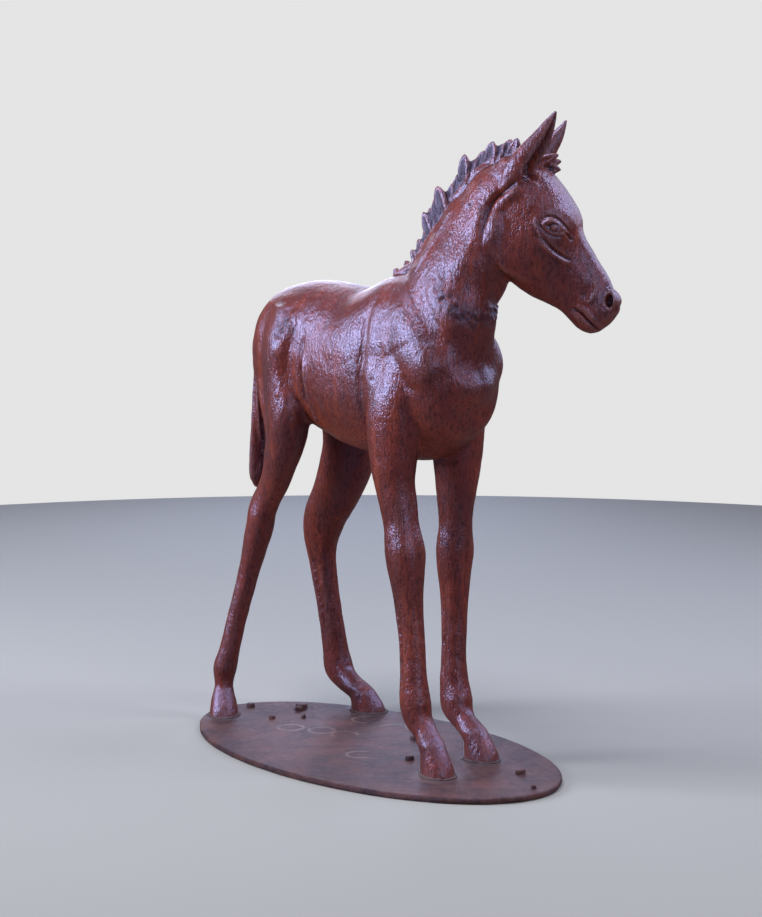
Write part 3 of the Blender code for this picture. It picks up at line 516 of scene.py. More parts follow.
def curve(rows, steps=4):
    """A Catmull-Rom curve through the rows of a table, with this many steps from row to row."""
    rows = np.asarray(rows, float)
    ends = np.vstack((rows[:1], rows, rows[-1:]))
    p, q, r, s = (ends[k:len(ends) - 3 + k, None] for k in range(4))
    t = np.linspace(0, 1, steps, endpoint=False)[None, :, None]
    bend = (2 * p - 5 * q + 4 * r - s) * t + (3 * q - p - 3 * r + s) * t * t
    return np.vstack(((q + 0.5 * t * (r - p + bend)).reshape(-1, rows.shape[1]), rows[-1:]))


def next_round(here, around):
    """The number of the next point on the same ring, for points numbered ring by ring."""
    return here - here % around + (here % around + 1) % around


def stacked(rings):
    """Faces over a stack of rings, closed by a point in the middle of each end ring."""
    count, around = rings.shape[:2]
    points = np.vstack((rings.reshape(-1, 3), rings[0].mean(0), rings[-1].mean(0)))
    here = np.arange((count - 1) * around)
    after = next_round(here, around)
    k = np.arange(around)
    beside = next_round(k, around)
    last = (count - 1) * around
    faces = np.vstack((
        np.stack((here, after, after + around), 1),
        np.stack((here, after + around, here + around), 1),
        np.stack((beside, k, np.full(around, count * around)), 1),
        np.stack((last + k, last + beside, np.full(around, count * around + 1)), 1),
    ))
    return points, faces


def signed_power(value, power):
    """The value's size to a power, with the value's sign."""
    return np.copysign(np.abs(value) ** power, value)


def loft(rows, side_hint, power=2.1, around=28, flute=0.0):
    """A closed form carried along a curve: at angle a its oval is side * cos(a)^(2 / power) and
    up * sin(a)^(2 / power), each signed. A flute presses the middle of its broad faces in."""
    rows = curve(rows)
    centres = rows[:, :3]
    tangent = unit(centres[np.minimum(np.arange(len(rows)) + 1, len(rows) - 1)]
                   - centres[np.maximum(np.arange(len(rows)) - 1, 0)])
    side = unit(side_hint - tangent * (tangent @ side_hint)[:, None])
    up = np.cross(tangent, side)
    across = signed_power(np.cos(turns(around)), 2 / power)
    along = signed_power(np.sin(turns(around)), 2 / power)
    half_up, half_side = np.maximum(rows[:, 3], 0.1), np.maximum(rows[:, 4], 0.1)
    taper = rows[:, 5] if rows.shape[1] > 5 else np.zeros(len(rows))
    across = across[None] * (1 + taper[:, None] * along)
    across = across * (1 - flute * bell(along, 0.45))
    rings = (centres[:, None] + side[:, None] * (across * half_side[:, None])[..., None]
             + up[:, None] * (along[None] * half_up[:, None])[..., None])
    return stacked(rings)


def joined(shapes):
    """Several shapes as one list of points and one of faces."""
    starts = np.cumsum([0] + [len(points) for points, _ in shapes])
    return (np.vstack([points for points, _ in shapes]),
            np.vstack([faces + start for (_, faces), start in zip(shapes, starts)]))


def head_point(along, side, off):
    """A point of the head, from its distances down the face, to the left and off the face."""
    along, side, off = (np.asarray(value, float)[..., None] for value in (along, side, off))
    return POLL + DOWN_FACE * along + HEAD_LEFT * side + OFF_FACE * off


def on_cheek(hand, along, off, lift=0.0):
    """The point of the head's skin at this height, on the left (1) or the right (-1)."""
    table = np.array(HEAD)
    face, jaw, half, taper = (np.interp(along, table[:, 0], table[:, k]) for k in (1, 2, 3, 4))
    height = np.clip((off - (face + jaw) / 2) / ((face - jaw) / 2), -1, 1)
    width = half * (1 + taper * height) * (1 - np.abs(height) ** 2.2) ** (1 / 2.2)
    return head_point(along, hand * (width + lift), off)


def face_path(hand, path, size, lift=0.0):
    """A thin loft along a path on the head's skin."""
    path = np.asarray(path, float)
    centres = on_cheek(hand, path[:, 0], path[:, 1], lift)
    halves = np.full((len(path), 2), size)
    return loft(np.hstack((centres, halves)), OFF_FACE, around=16)


def egg(centre, half_height, half_width, half_length, axis):
    """An egg along an axis: at share s of its length its oval is sqrt(1 - s^2) of its full size."""
    share = np.sin(np.linspace(-np.pi / 2, np.pi / 2, 9))
    size = np.sqrt(1 - share ** 2)
    rows = np.column_stack((centre + axis * (share * half_length)[:, None],
                            size * half_height, size * half_width))
    return loft(rows, HEAD_LEFT, power=2.0)


def crown_and_sole(stations, ahead):
    """The middle of a leg's last station, and the middle of its sole on the plate."""
    crown = np.array(stations[-1][:3])
    return crown, (crown + ahead * HOOF_REACH) * (1, 1, 0)


def leg(stations, toe):
    """A leg from the body to the coronet, and its hoof down to the sole."""
    ahead, left = level_heading(toe)
    crown, sole = crown_and_sole(stations, ahead)
    hoof = [
        (*(crown - ahead * 0.2 + UPWARD * 0.5), 1.5, 1.6),
        (*crown, 2.1, 1.95),
        (*(sole * 0.85 + crown * 0.15 - UPWARD * 0.2),
         HOOF_HALF_LENGTH * 0.95, HOOF_HALF_WIDTH * 0.97),
        (sole[0], sole[1], -HOOF_SINK, HOOF_HALF_LENGTH, HOOF_HALF_WIDTH),
    ]
    return [loft(stations, left), loft(hoof, left, around=40)]


def pair(stations):
    """The same muscle on the left and on the right."""
    rows = np.array(stations, float)
    return [loft(rows * (1, hand, 1, 1, 1), LEFTWARD) for hand in (1, -1)]


def body_shapes():
    """The broad forms of the animal, each a closed loft."""
    trunk = [(x, 0.0, (top + low) / 2, (top - low) / 2, half, TRUNK_TAPER)
             for x, top, low, half in TRUNK]
    shapes = [loft(trunk, LEFTWARD, power=2.3)]
    shapes += [loft(stations, LEFTWARD) for stations in (NECK, THROAT, TAIL, BREAST_MIDDLE)]
    along, face, jaw, half, taper = np.array(HEAD).T
    middle = head_point(along, 0 * along, (face + jaw) / 2)
    skull = np.column_stack((middle, (face - jaw) / 2, half, taper))
    shapes.append(loft(skull, HEAD_LEFT, power=2.2))
    along, off, *halves = np.array(CHEEK).T
    for hand in (1, -1):
        middle = on_cheek(hand, along, off, -CHEEK_DEPTH)
        shapes.append(loft(np.column_stack((middle, *halves)), HEAD_LEFT))
    for stations, toe in LEGS:
        shapes += leg(stations, toe)
    for muscle in (SHOULDER_BLADE, TRICEPS, BREAST, BUTTOCK, HIP):
        shapes += pair(muscle)
    return shapes


def lock(root, tip, half_breadth, half_thickness, side_hint, sink):
    """A leaf-shaped lock of hair, from under the skin to its point, with a groove down each face."""
    rise = tip - root
    outward = unit(rise)
    return loft([
        (*(root - outward * sink), half_breadth * 0.8, half_thickness * 0.8),
        (*root, half_breadth, half_thickness),
        (*(root + rise * 0.55), half_breadth * 0.85, half_thickness * 0.75),
        (*(root + rise * 0.86), half_breadth * 0.45, half_thickness * 0.5),
        (*tip, 0.12, 0.12),
    ], side_hint, flute=LOCK_GROOVE)


def mane_shapes():
    """The upright mane on its ridge: leaf-shaped locks along the crest, leaning left and right in
    turn, and a smaller one in each gap but the last."""
    crest = np.array(CREST)
    ridge_halves = np.tile((1.1, 0.9), (len(crest), 1))
    shapes = [loft(np.column_stack((crest - UPWARD * 0.5, ridge_halves)), LEFTWARD)]
    for count, (x, z, tip_x, tip_z, half) in enumerate(MANE):
        y = np.interp(x, crest[:, 0], crest[:, 1])
        lean = LOCK_LEAN * (-1) ** count
        root, tip = np.array((x, y - lean * 0.4, z)), np.array((tip_x, y - lean, tip_z))
        shapes.append(lock(root, tip, half, LOCK_THICKNESS, LEFTWARD, LOCK_SINK))
        if count < len(MANE) - 3:
            after = MANE[count + 1]
            step = np.array(((after[0] - x) * 0.5, lean * 1.3, (after[1] - z) * 0.5))
            shapes.append(lock(root + step, tip + step - UPWARD * 0.4, half * 0.85,
                               BETWEEN_THICKNESS, LEFTWARD, LOCK_SINK))
    return shapes


def ear_rows(stations):
    """An ear's stations, set out from the poll."""
    ahead, left, up, *halves = np.array(stations).T
    middle = POLL + np.outer(ahead, HEAD_AHEAD) + np.outer(left, HEAD_LEFT) + np.outer(up, UPWARD)
    return np.column_stack((middle, *halves))


def fine_shapes():
    """What stands on the broad forms: mane, forelock, ears, flank folds, eyeballs, lids and nostrils."""
    shapes = mane_shapes() + pair(FLANK_FOLD)
    for root, tip in FORELOCK:
        shapes.append(lock(head_point(*root), head_point(*tip), *FORELOCK_SIZE,
                           HEAD_LEFT, FORELOCK_SINK))
    for ear in (RIGHT_EAR, LEFT_EAR):
        rows = ear_rows(ear)
        shapes.append(loft(rows, HEAD_LEFT))
        shapes.append(egg(rows[1, :3] - UPWARD * 0.3, *EAR_ROOT, unit(rows[2, :3] - rows[0, :3])))
    for hand in (1, -1):
        middle = on_cheek(hand, *EYE_CENTRE, -EYEBALL_DEPTH)
        shapes.append(egg(middle, EYEBALL_RADIUS, EYEBALL_RADIUS, EYEBALL_RADIUS * 1.15, DOWN_FACE))
        rim = LID_RIM + LID_RIM[:1]
        shapes.append(face_path(hand, rim[:5], LID_HALF * 1.1, 0.12))
        shapes.append(face_path(hand, rim[4:], LID_HALF, 0.05))
        middle = on_cheek(hand, *NOSTRIL_CENTRE, -NOSTRIL_BULGE_DEPTH)
        shapes.append(egg(middle, *NOSTRIL_BULGE, DOWN_FACE))
    return shapes


def new_mesh(name, points, faces):
    """A mesh of these points and faces."""
    mesh = bpy.data.meshes.new(name)
    mesh.from_pydata(points, [], faces)
    mesh.update()
    return mesh


def finished(mesh, modifiers):
    """The points and three-cornered faces of a mesh once its modifiers are applied."""
    thing = bpy.data.objects.new("rough", mesh)
    bpy.context.scene.collection.objects.link(thing)
    for kind, settings in modifiers:
        modifier = thing.modifiers.new(kind.lower(), kind)
        for key, value in settings.items():
            setattr(modifier, key, value)
    graph = bpy.context.evaluated_depsgraph_get()
    result = bpy.data.meshes.new_from_object(thing.evaluated_get(graph))
    bpy.data.objects.remove(thing)
    bpy.data.meshes.remove(mesh)
    result.calc_loop_triangles()
    points = np.empty(len(result.vertices) * 3)
    faces = np.empty(len(result.loop_triangles) * 3, np.int64)
    result.vertices.foreach_get("co", points)
    result.loop_triangles.foreach_get("vertices", faces)
    bpy.data.meshes.remove(result)
    return points.reshape(-1, 3), faces.reshape(-1, 3)


def fused(points, faces, voxel, rounds):
    """Overlapping closed forms made into one skin, then eased this many rounds."""
    return finished(new_mesh("rough", points, faces), [
        ("REMESH", {"mode": "VOXEL", "voxel_size": voxel}),
        ("SMOOTH", {"factor": 0.5, "iterations": rounds}),
    ])


def refined(points, faces, wanted):
    """The edges between wanted points are cut in two, and so their faces in four, with the faces next
    to them closed up to the cuts. All points are then eased once."""
    mesh = bmesh.new()
    rough = new_mesh("rough", points, faces)
    mesh.from_mesh(rough)
    bpy.data.meshes.remove(rough)
    mesh.verts.ensure_lookup_table()
    chosen = [edge for edge in mesh.edges if all(wanted[end.index] for end in edge.verts)]
    bmesh.ops.subdivide_edges(mesh, edges=chosen, cuts=1, use_grid_fill=True)
    rough = bpy.data.meshes.new("rough")
    mesh.to_mesh(rough)
    mesh.free()
    return finished(rough, [("SMOOTH", {"factor": 0.4, "iterations": 1})])


def point_normals(points, faces):
    """Each point's normal: the sum of its faces' cross products, made one long."""
    a, b, c = (points[faces[:, k]] for k in range(3))
    face_normal = np.cross(b - a, c - a)
    total = np.zeros_like(points)
    for k in range(3):
        for axis in range(3):
            total[:, axis] += np.bincount(faces[:, k], face_normal[:, axis], len(points))
    return unit(total)


def lumps(points, size, seed):
    """Soft noise of -1 to 1: seeded values on a lattice of this spacing, blended by 3t^2 - 2t^3."""
    lattice = np.random.default_rng(seed).uniform(-1, 1, (LATTICE,) * 3)
    cell = np.floor(points / size).astype(int)
    share = points / size - cell
    share = share * share * (3 - 2 * share)
    total = np.zeros(len(points))
    for corner in np.ndindex(2, 2, 2):
        weight = np.prod(np.where(corner, share, 1 - share), axis=1)
        total += weight * lattice[tuple(((cell + corner) % LATTICE).T)]
    return total


def line_profile(flat, path, half_width):
    """A bell of the distance to a path in a plane, times the square root of the sine of the share of
    the path's length, so that it fades at both ends."""
    path = curve(path, 3)
    low, high = path.min(0) - 3 * half_width, path.max(0) + 3 * half_width
    near = np.flatnonzero(np.all((flat > low) & (flat < high), axis=1))
    result = np.zeros(len(flat))
    start, step = path[:-1], np.diff(path, axis=0)
    toward = flat[near][:, None] - start
    share = np.clip((toward * step).sum(2) / (step ** 2).sum(1), 0, 1)
    distance = np.linalg.norm(toward - share[..., None] * step, axis=2)
    nearest = distance.argmin(1)
    row = np.arange(len(near))
    way = (nearest + share[row, nearest]) / len(step)
    fade = np.sqrt(np.clip(np.sin(np.pi * np.clip(way, 0.02, 0.98)), 0, 1))
    result[near] = bell(distance[row, nearest], half_width) * fade
    return result


def drawn(flat, lines):
    """The heights of all lines of a table, summed at each point of a plane."""
    return sum(line_profile(flat, path, half) * rise for path, half, rise in lines)


def on_head(points):
    """Points in the head's own frame: along, side, off."""
    away = points - POLL
    return away @ DOWN_FACE, away @ HEAD_LEFT, away @ OFF_FACE


def head_relief(points, normals):
    """The lines of the face, the iris and the nostrils' rims, each a bell across its own line and a
    height along the point's normal, and the nostrils' pits, pressed in sideways."""
    along, side, off = on_head(points)
    flat = np.column_stack((along, off))
    low, high = RELIEF_OFF_FACE
    facing = eased(normals @ HEAD_LEFT * np.sign(side), 0.0, 0.35)
    facing *= (along > -1) & (off > low) & (off < high)
    height = drawn(flat, HEAD_LINES)
    reach = np.hypot(along - EYE_CENTRE[0], off - EYE_CENTRE[1])
    for radius, half, rise in (IRIS_RING, PUPIL_DOME):
        height += rise * bell(reach - radius, half)
    a, b = along - NOSTRIL_CENTRE[0], off - NOSTRIL_CENTRE[1]
    long = a * cos(NOSTRIL_SLANT) + b * sin(NOSTRIL_SLANT)
    broad = -a * sin(NOSTRIL_SLANT) + b * cos(NOSTRIL_SLANT)
    reach = np.hypot(long / NOSTRIL_HALVES[0], broad / NOSTRIL_HALVES[1])
    radius, half, rise = NOSTRIL_RIM
    height += rise * bell(reach - radius, half)
    moved = normals * (height * facing)[:, None]
    pit = NOSTRIL_PIT * (1 - eased(reach, 0.55, 1.1)) * facing
    return moved - np.sign(side)[:, None] * HEAD_LEFT * pit[:, None]


def ear_relief(points, _):
    """The ears' hollows: a groove along the front, pressed in by exp(-(across / 0.5)^4) times a share
    of the ear's half breadth, eased in towards the front and out at both ends."""
    moved = np.zeros_like(points)
    for stations, hand in ((RIGHT_EAR, -1), (LEFT_EAR, 1)):
        rows = curve(ear_rows(stations), 6)
        opening = unit(HEAD_AHEAD * 0.86 + HEAD_LEFT * hand * 0.5 + UPWARD * -0.25)
        beside = unit(np.cross(opening, rows[-1, :3] - rows[0, :3]))
        near = np.flatnonzero(np.linalg.norm(points - rows[len(rows) // 2, :3], axis=1) < 9)
        gap = points[near][:, None] - rows[None, :, :3]
        nearest = np.linalg.norm(gap, axis=2).argmin(1)
        radial = gap[np.arange(len(near)), nearest]
        breadth = rows[nearest, 3]
        way = nearest / (len(rows) - 1)
        ahead = (radial @ opening) / breadth
        across = (radial @ beside) / rows[nearest, 4]
        inside = np.linalg.norm(radial, axis=1) < breadth * 1.3
        deep = np.exp(-(across / 0.5) ** 4) * eased(ahead, 0.1, 0.7) * eased(way, 0.28, 0.45)
        deep *= (1 - eased(way, 0.93, 1.0)) * inside
        moved[near] -= opening * (deep * breadth * EAR_HOLLOW)[:, None]
    return moved


def body_relief(points, normals):
    """The creases of neck, shoulder, flank and thigh, the tendons and the coronets, each a bell
    across its own line, and the tail's strands, a sine of seven times the turn round it."""
    x, y, z = points.T
    flat = np.column_stack((x, z))
    outward = eased(normals[:, 1] * np.sign(y), 0.05, 0.5) * (z > 45)
    height = drawn(flat, SIDE_LINES) * outward
    ahead = eased(normals[:, 0], 0.2, 0.7)
    height += drawn(np.column_stack((y, z)), FRONT_LINES) * ahead * (x > 14)
    near = np.flatnonzero((z < LOWER_LEG_TOP) & (z > 1.5))
    for stations, toe in LEGS:
        way, left = level_heading(toe)
        rows = curve(stations)
        rows = rows[rows[:, 2] < LOWER_LEG_TOP]
        nearest = np.abs(points[near, 2:3] - rows[:, 2]).argmin(1)
        radial = points[near] - rows[nearest, :3]
        mine = np.hypot(radial[:, 0], radial[:, 1]) < rows[nearest, 3] * 1.6
        front = (radial @ way) / rows[nearest, 3]
        flank = eased(np.abs(normals[near] @ left), 0.4, 0.8)
        level = points[near, 2]
        shank = eased(level, 10, 14) * (1 - eased(level, 24, 28))
        groove = bell(front + 0.22, 0.2) * flank * shank
        bone = bell(front - 0.3, 0.3) * flank * shank
        height[near] += mine * (0.08 * bone - 0.26 * groove)
        last_x, last_y, last_z = stations[-1][:3]
        hoof = np.hypot(points[near, 0] - last_x, points[near, 1] - last_y) < 5.5
        height[near] += hoof * 0.07 * bell(level - (last_z + 0.9), 0.45)
    strand = eased(-x, 33.2, 34.6) * eased(66.5 - z, 0, 4)
    turn = np.arctan2(y + 1.0 + lumps(points, 6.0, 3) * 0.6, x + 36.0)
    height += strand * 0.16 * np.sin(turn * 7 + z * 0.12)
    return normals * height[:, None]


def cast_relief(points, normals, strength):
    """The unevenness of a sand casting: three sizes of soft noise, and two more in the rough parts."""
    height = lumps(points, 5.0, 11) * 0.09
    height += lumps(points, 1.9, 12) * 0.045
    height += lumps(points, 0.75, 13) * 0.018
    height += rough_share(points) * (lumps(points, 0.9, 14) * 0.26 + lumps(points, 0.5, 15) * 0.16)
    return normals * (height * strength)[:, None]


def rough_share(points):
    """How far each point lies in a rough part of the casting: 1 on its line, 0 away from it."""
    flat = points[:, (0, 2)]
    share = sum(line_profile(flat, path, half) for path, half in ROUGH_LINES)
    return np.clip(share, 0, 1) * (points[:, 1] < 4)


def mane_share(points):
    """How far each point lies in the mane: 1 well above the crest, 0 below it."""
    crest = np.array(CREST)
    above = points[:, 2] - np.interp(points[:, 0], crest[:, 0], crest[:, 2])
    beside = np.abs(points[:, 1] - np.interp(points[:, 0], crest[:, 0], crest[:, 1]))
    inside = (points[:, 0] > crest[0, 0] - 3) & (points[:, 0] < crest[-1, 0] + 0.5)
    return eased(above, 0.5, 1.2) * (1 - eased(beside, 2.0, 3.0)) * inside


def hollow_share(points, faces, rounds):
    """How hollow (below 0) or raised (above 0) the skin is at each point: the mean, over its edges, of
    the edge times the difference of its ends' normals over its length squared, then spread by
    0.4 of the point's own and 0.6 of its neighbours' mean for a few rounds."""
    edges = np.unique(np.sort(faces[:, (0, 1, 1, 2, 2, 0)].reshape(-1, 2), axis=1), axis=0)
    a, b = edges.T
    degree = np.bincount(edges.ravel(), minlength=len(points)).astype(float)
    normals = point_normals(points, faces)
    length = np.linalg.norm(points[a] - points[b], axis=1)
    bend = ((points[a] - points[b]) * (normals[a] - normals[b])).sum(1) / np.maximum(length, 1e-6) ** 2

    def gathered(at_a, at_b):
        total = np.bincount(a, at_a, len(points)) + np.bincount(b, at_b, len(points))
        return total / np.maximum(degree, 1)

    value = gathered(bend, bend)
    for _ in range(rounds):
        value = 0.4 * value + 0.6 * gathered(value[b], value[a])
    return value


def add_share(mesh, name, values):
    """A number for every point of the mesh, for its material to read."""
    layer = mesh.attributes.new(name, "FLOAT", "POINT")
    layer.data.foreach_set("value", values.astype(np.float32))


def add_object(name, data, collection_name="cast_iron_foal"):
    """An object with this data in the collection of this name, which is made when it is missing."""
    collection = bpy.data.collections.get(collection_name)
    if collection is None:
        collection = bpy.data.collections.new(collection_name)
        bpy.context.scene.collection.children.link(collection)
    thing = bpy.data.objects.new(name, data)
    collection.objects.link(thing)
    return thing


def new_piece(name, points, faces, material):
    """A finished piece with its material, smooth all over, in its place."""
    mesh = new_mesh(name, points, faces)
    mesh.polygons.foreach_set("use_smooth", np.ones(len(mesh.polygons), bool))
    mesh.materials.append(material)
    return add_object(name, mesh)


def foal_skin(settings):
    """The foal's points and faces in metres: broad forms, fine forms, relief, then fewer faces."""
    points, faces = joined(body_shapes())
    points, faces = fused(placed(points), faces, settings.body_voxel, settings.body_easing)
    fine_points, fine_faces = joined(fine_shapes())
    points, faces = joined([(points, faces), (placed(fine_points), fine_faces)])
    points, faces = fused(points, faces, settings.skin_voxel, 1)
    laid = laid_out(points)
    fine = (laid[:, 2] > FINE_ABOVE) | (on_head(laid)[2] > FINE_OFF_FACE)
    points, faces = refined(points, faces, fine)
    points = laid_out(points)
    for relief in (body_relief, head_relief, ear_relief):
        points = points + relief(points, point_normals(points, faces)) * settings.relief
    points = points + cast_relief(points, point_normals(points, faces), settings.unevenness)
    points[:, 2] = np.maximum(points[:, 2], 0.0)
    share = min(1.0, settings.most_faces / len(faces))
    return finished(new_mesh("rough", placed(points), faces), [("DECIMATE", {"ratio": share})])


class Number:
    """A shader value that takes part in sums: each + - * / adds a Math node."""

    def __init__(self, nodes, socket):
        self.nodes, self.socket = nodes, socket

    def math(self, operation, *others):
        """A Math node of this operation, on this value and the others in order."""
        return self.nodes.add("ShaderNodeMath", {"operation": operation},
                              dict(enumerate((self, *others))))

    def __add__(self, other):
        return self.math("ADD", other)

    def __sub__(self, other):
        return self.math("SUBTRACT", other)

    def __mul__(self, other):
        return self.math("MULTIPLY", other)

    def __truediv__(self, other):
        return self.math("DIVIDE", other)

    def __rsub__(self, other):
        return self.math("MULTIPLY", -1.0) + other

    __radd__, __rmul__ = __add__, __mul__

    def eased(self, low, high):
        """0 below low, 1 above high, and 3t^2 - 2t^3 between."""
        return self.nodes.add("ShaderNodeMapRange", {"interpolation_type": "SMOOTHSTEP"},
                              {"Value": self, "From Min": low, "From Max": high})


class Nodes:
    """A tree of shader nodes that are all added by one method."""

    def __init__(self, tree):
        self.tree = tree

    def set_inputs(self, node, inputs):
        """Link each Number to its socket of a node, and write any other value into its socket."""
        for key, value in inputs.items():
            if isinstance(value, Number):
                self.tree.links.new(value.socket, node.inputs[key])
            else:
                node.inputs[key].default_value = value

    def add(self, kind, settings, inputs, output=0):
        """A node of this type, its settings made first, and one of its outputs."""
        node = self.tree.nodes.new(kind)
        for key, value in settings.items():
            setattr(node, key, value)
        self.set_inputs(node, inputs)
        return Number(self, node.outputs[output])


class Surface(Nodes):
    """A Principled material, whose colour is laid on in coats over a ground."""

    def __init__(self, name, ground):
        self.material = bpy.data.materials.new(name)
        self.material.use_nodes = True
        super().__init__(self.material.node_tree)
        self.place = self.add("ShaderNodeTexCoord", {}, {}, "Object")
        self.colour = shade(ground)

    def noise(self, scale, detail=3.0, roughness=0.55, place=None):
        """Fractal noise about 0.5, on Object coordinates or on a place made from them."""
        return self.add("ShaderNodeTexNoise", {}, {"Vector": place or self.place, "Scale": scale,
                                                   "Detail": detail, "Roughness": roughness})

    def streaky(self, scales, detail, roughness):
        """Noise with a scale of its own along each axis, so that it runs in streaks."""
        place = self.add("ShaderNodeVectorMath", {"operation": "MULTIPLY"}, {0: self.place, 1: scales})
        return self.noise(1.0, detail, roughness, place)

    def share(self, name):
        """A number that the mesh carries for every point."""
        return self.add("ShaderNodeAttribute", {"attribute_name": name}, {}, "Fac")

    def part(self, vector, axis):
        """A vector's length along one axis, by the axis's number."""
        return self.add("ShaderNodeSeparateXYZ", {}, {0: vector}, axis)

    def coat(self, share, colour, factor=1.0):
        """Lay a colour over the coats so far: none of it where the share is 0, all where it is 1."""
        self.colour = self.add("ShaderNodeMix", {"data_type": "RGBA"},
                               {0: share, 6: self.colour, 7: shade(colour, factor)}, 2)

    def bump(self, strength, distance, relief):
        """The normal of a relief of this strength and depth."""
        return self.add("ShaderNodeBump", {},
                        {"Strength": strength, "Distance": distance, "Height": relief})

    def finish(self, **inputs):
        """The material, with the coats as Base Color and the shader's other sockets by name, where _
        stands for a space."""
        inputs = {key.replace("_", " "): value for key, value in inputs.items()}
        self.set_inputs(self.tree.nodes["Principled BSDF"], {"Base Color": self.colour, **inputs})
        return self.material


def shade(colour, factor=1.0):
    """A colour of a setting, dimmed or lit by a factor, with its alpha."""
    return (*[channel * factor for channel in colour], 1.0)


def waxed_rust(colours):
    """The foal's iron: red-brown rust under wax, lilac-grey where it is worn smooth, orange in
    places, near black along its rough seam, and painted shade that darkens its hollows and the
    faces of the mane's locks."""
    made = Surface("waxed_rust", colours.rust)
    patches = made.noise(7.0, 4.0, 0.6)
    streaks = made.streaky((38.0, 38.0, 5.0), 5.0, 0.6)
    brushed = made.streaky((210.0, 210.0, 60.0), 3.0, 0.6)
    grain = made.noise(330.0, 3.0, 0.7)
    pits = made.add("ShaderNodeTexVoronoi", {"feature": "F1"}, {"Vector": made.place, "Scale": 210.0})
    raised = made.share("raised")
    rough = made.share("rough_seam")
    mane = made.share("mane")
    upward = made.part(made.add("ShaderNodeNewGeometry", {}, {}, "Normal"), 2)
    made.coat(patches.eased(0.36, 0.64), colours.dark_rust_and_shade)
    made.coat(streaks.eased(0.5, 0.72) * 0.55, colours.orange)
    made.coat((1.0 - streaks.eased(0.36, 0.5)) * 0.25, colours.worn, 0.45)
    made.coat(raised.eased(0.1, 0.6) * 0.35, colours.worn)
    # Painted shade: the skin's hollows are darkened towards near black, as shade would fall in them.
    made.coat((raised * -1.0).eased(0.1, 0.7) * 0.75, colours.dark_rust_and_shade, 0.4)
    made.coat(rough * made.noise(120.0).eased(0.38, 0.52) * 0.9, colours.dark_rust_and_shade, 0.25)
    # Painted shade: the mane's locks are darkened on their faces, short of their raised rims.
    made.coat(mane * (1.0 - raised.eased(0.2, 0.7)) * 0.9, colours.dark_rust_and_shade, 0.2)
    made.coat(grain.eased(0.45, 0.7) * 0.3, colours.dark_rust_and_shade, 0.5)
    made.coat((upward * -1.0).eased(0.1, 0.8) * 0.5, colours.orange)
    made.coat((1.0 - brushed.eased(0.40, 0.47)) * 0.5, colours.dark_rust_and_shade, 0.25)
    relief = pits * 0.3 + brushed * 1.6 + made.noise(70.0, 3.0, 0.5) * 0.7 + grain * 0.15
    gloss = 0.22 + grain * 0.1 + patches * 0.08 + rough * 0.2
    gloss = gloss + mane * (1.0 - raised.eased(0.0, 0.6)) * 0.25
    return made.finish(Metallic=0.0, IOR=1.6, Specular_IOR_Level=0.75,
                       Specular_Tint=shade(colours.sheen), Roughness=gloss,
                       Normal=made.bump(colours.grain, 0.0013, relief))


def ring_mark(made, waver, x, y, start, end):
    """One old ring on the plate: 1 within a thin band round its centre, for its share of a turn."""
    away = made.add("ShaderNodeVectorMath", {"operation": "SUBTRACT"},
                    {0: made.place, 1: (x, y, PLATE_TOP)})
    reach = made.add("ShaderNodeVectorMath", {"operation": "LENGTH"}, {0: away}, "Value")
    off_line = (reach + waver * RING_WAVER - RING_RADIUS - RING_WAVER / 2).math("ABSOLUTE")
    band = 1.0 - off_line.eased(0.0012, 0.0055)
    if end - start < 1.0:
        turn = (made.part(away, 1).math("ARCTAN2", made.part(away, 0)) / (2 * np.pi)).math("FRACT")
        band = band * turn.eased(start - 0.05, start + 0.05) * (1.0 - turn.eased(end - 0.05, end + 0.05))
    return band


def plate_rust(colours):
    """The plate's iron: brown-grey rust, mostly matte, with specks, scratches and pale ring marks,
    and grey by the welds."""
    made = Surface("plate_rust", colours.plate)
    patches = made.noise(14.0, 5.0, 0.65)
    cloud = made.noise(45.0, 4.0, 0.65)
    grain = made.noise(420.0, 3.0, 0.7)
    specks = made.noise(75.0, 6.0, 0.85)
    scratches = made.streaky((22.0, 150.0, 1.0), 4.0, 0.7)
    marks, *others = [ring_mark(made, cloud, *row) for row in RING_MARKS]
    for other in others:
        marks = marks.math("MAXIMUM", other)
    marks = marks * (0.4 + cloud.eased(0.35, 0.6) * 0.6)
    made.coat(patches.eased(0.35, 0.65), colours.plate_dark)
    made.coat(cloud.eased(0.5, 0.75) * 0.5, colours.plate_pale)
    made.coat(specks.eased(0.53, 0.64) * 0.7, colours.plate_dark, 0.35)
    made.coat((1.0 - specks.eased(0.36, 0.45)) * 0.5, colours.plate_pale)
    made.coat(scratches.eased(0.56, 0.66) * 0.35, colours.plate_pale)
    made.coat(marks * 0.55, colours.plate_pale, 1.35)
    made.coat(made.share("weld") * cloud.eased(0.3, 0.6) * 0.6, colours.weld)
    made.coat(grain.eased(0.5, 0.75) * 0.35, colours.plate_dark, 0.5)
    relief = grain * 0.5 + cloud * 0.8 + patches * 0.8 + specks * 0.8 + marks * 0.4
    return made.finish(Metallic=0.0, Specular_IOR_Level=0.5, Specular_Tint=shade(colours.sheen),
                       Roughness=0.34 + cloud * 0.3 - marks * 0.1, Normal=made.bump(1.0, 0.005, relief))


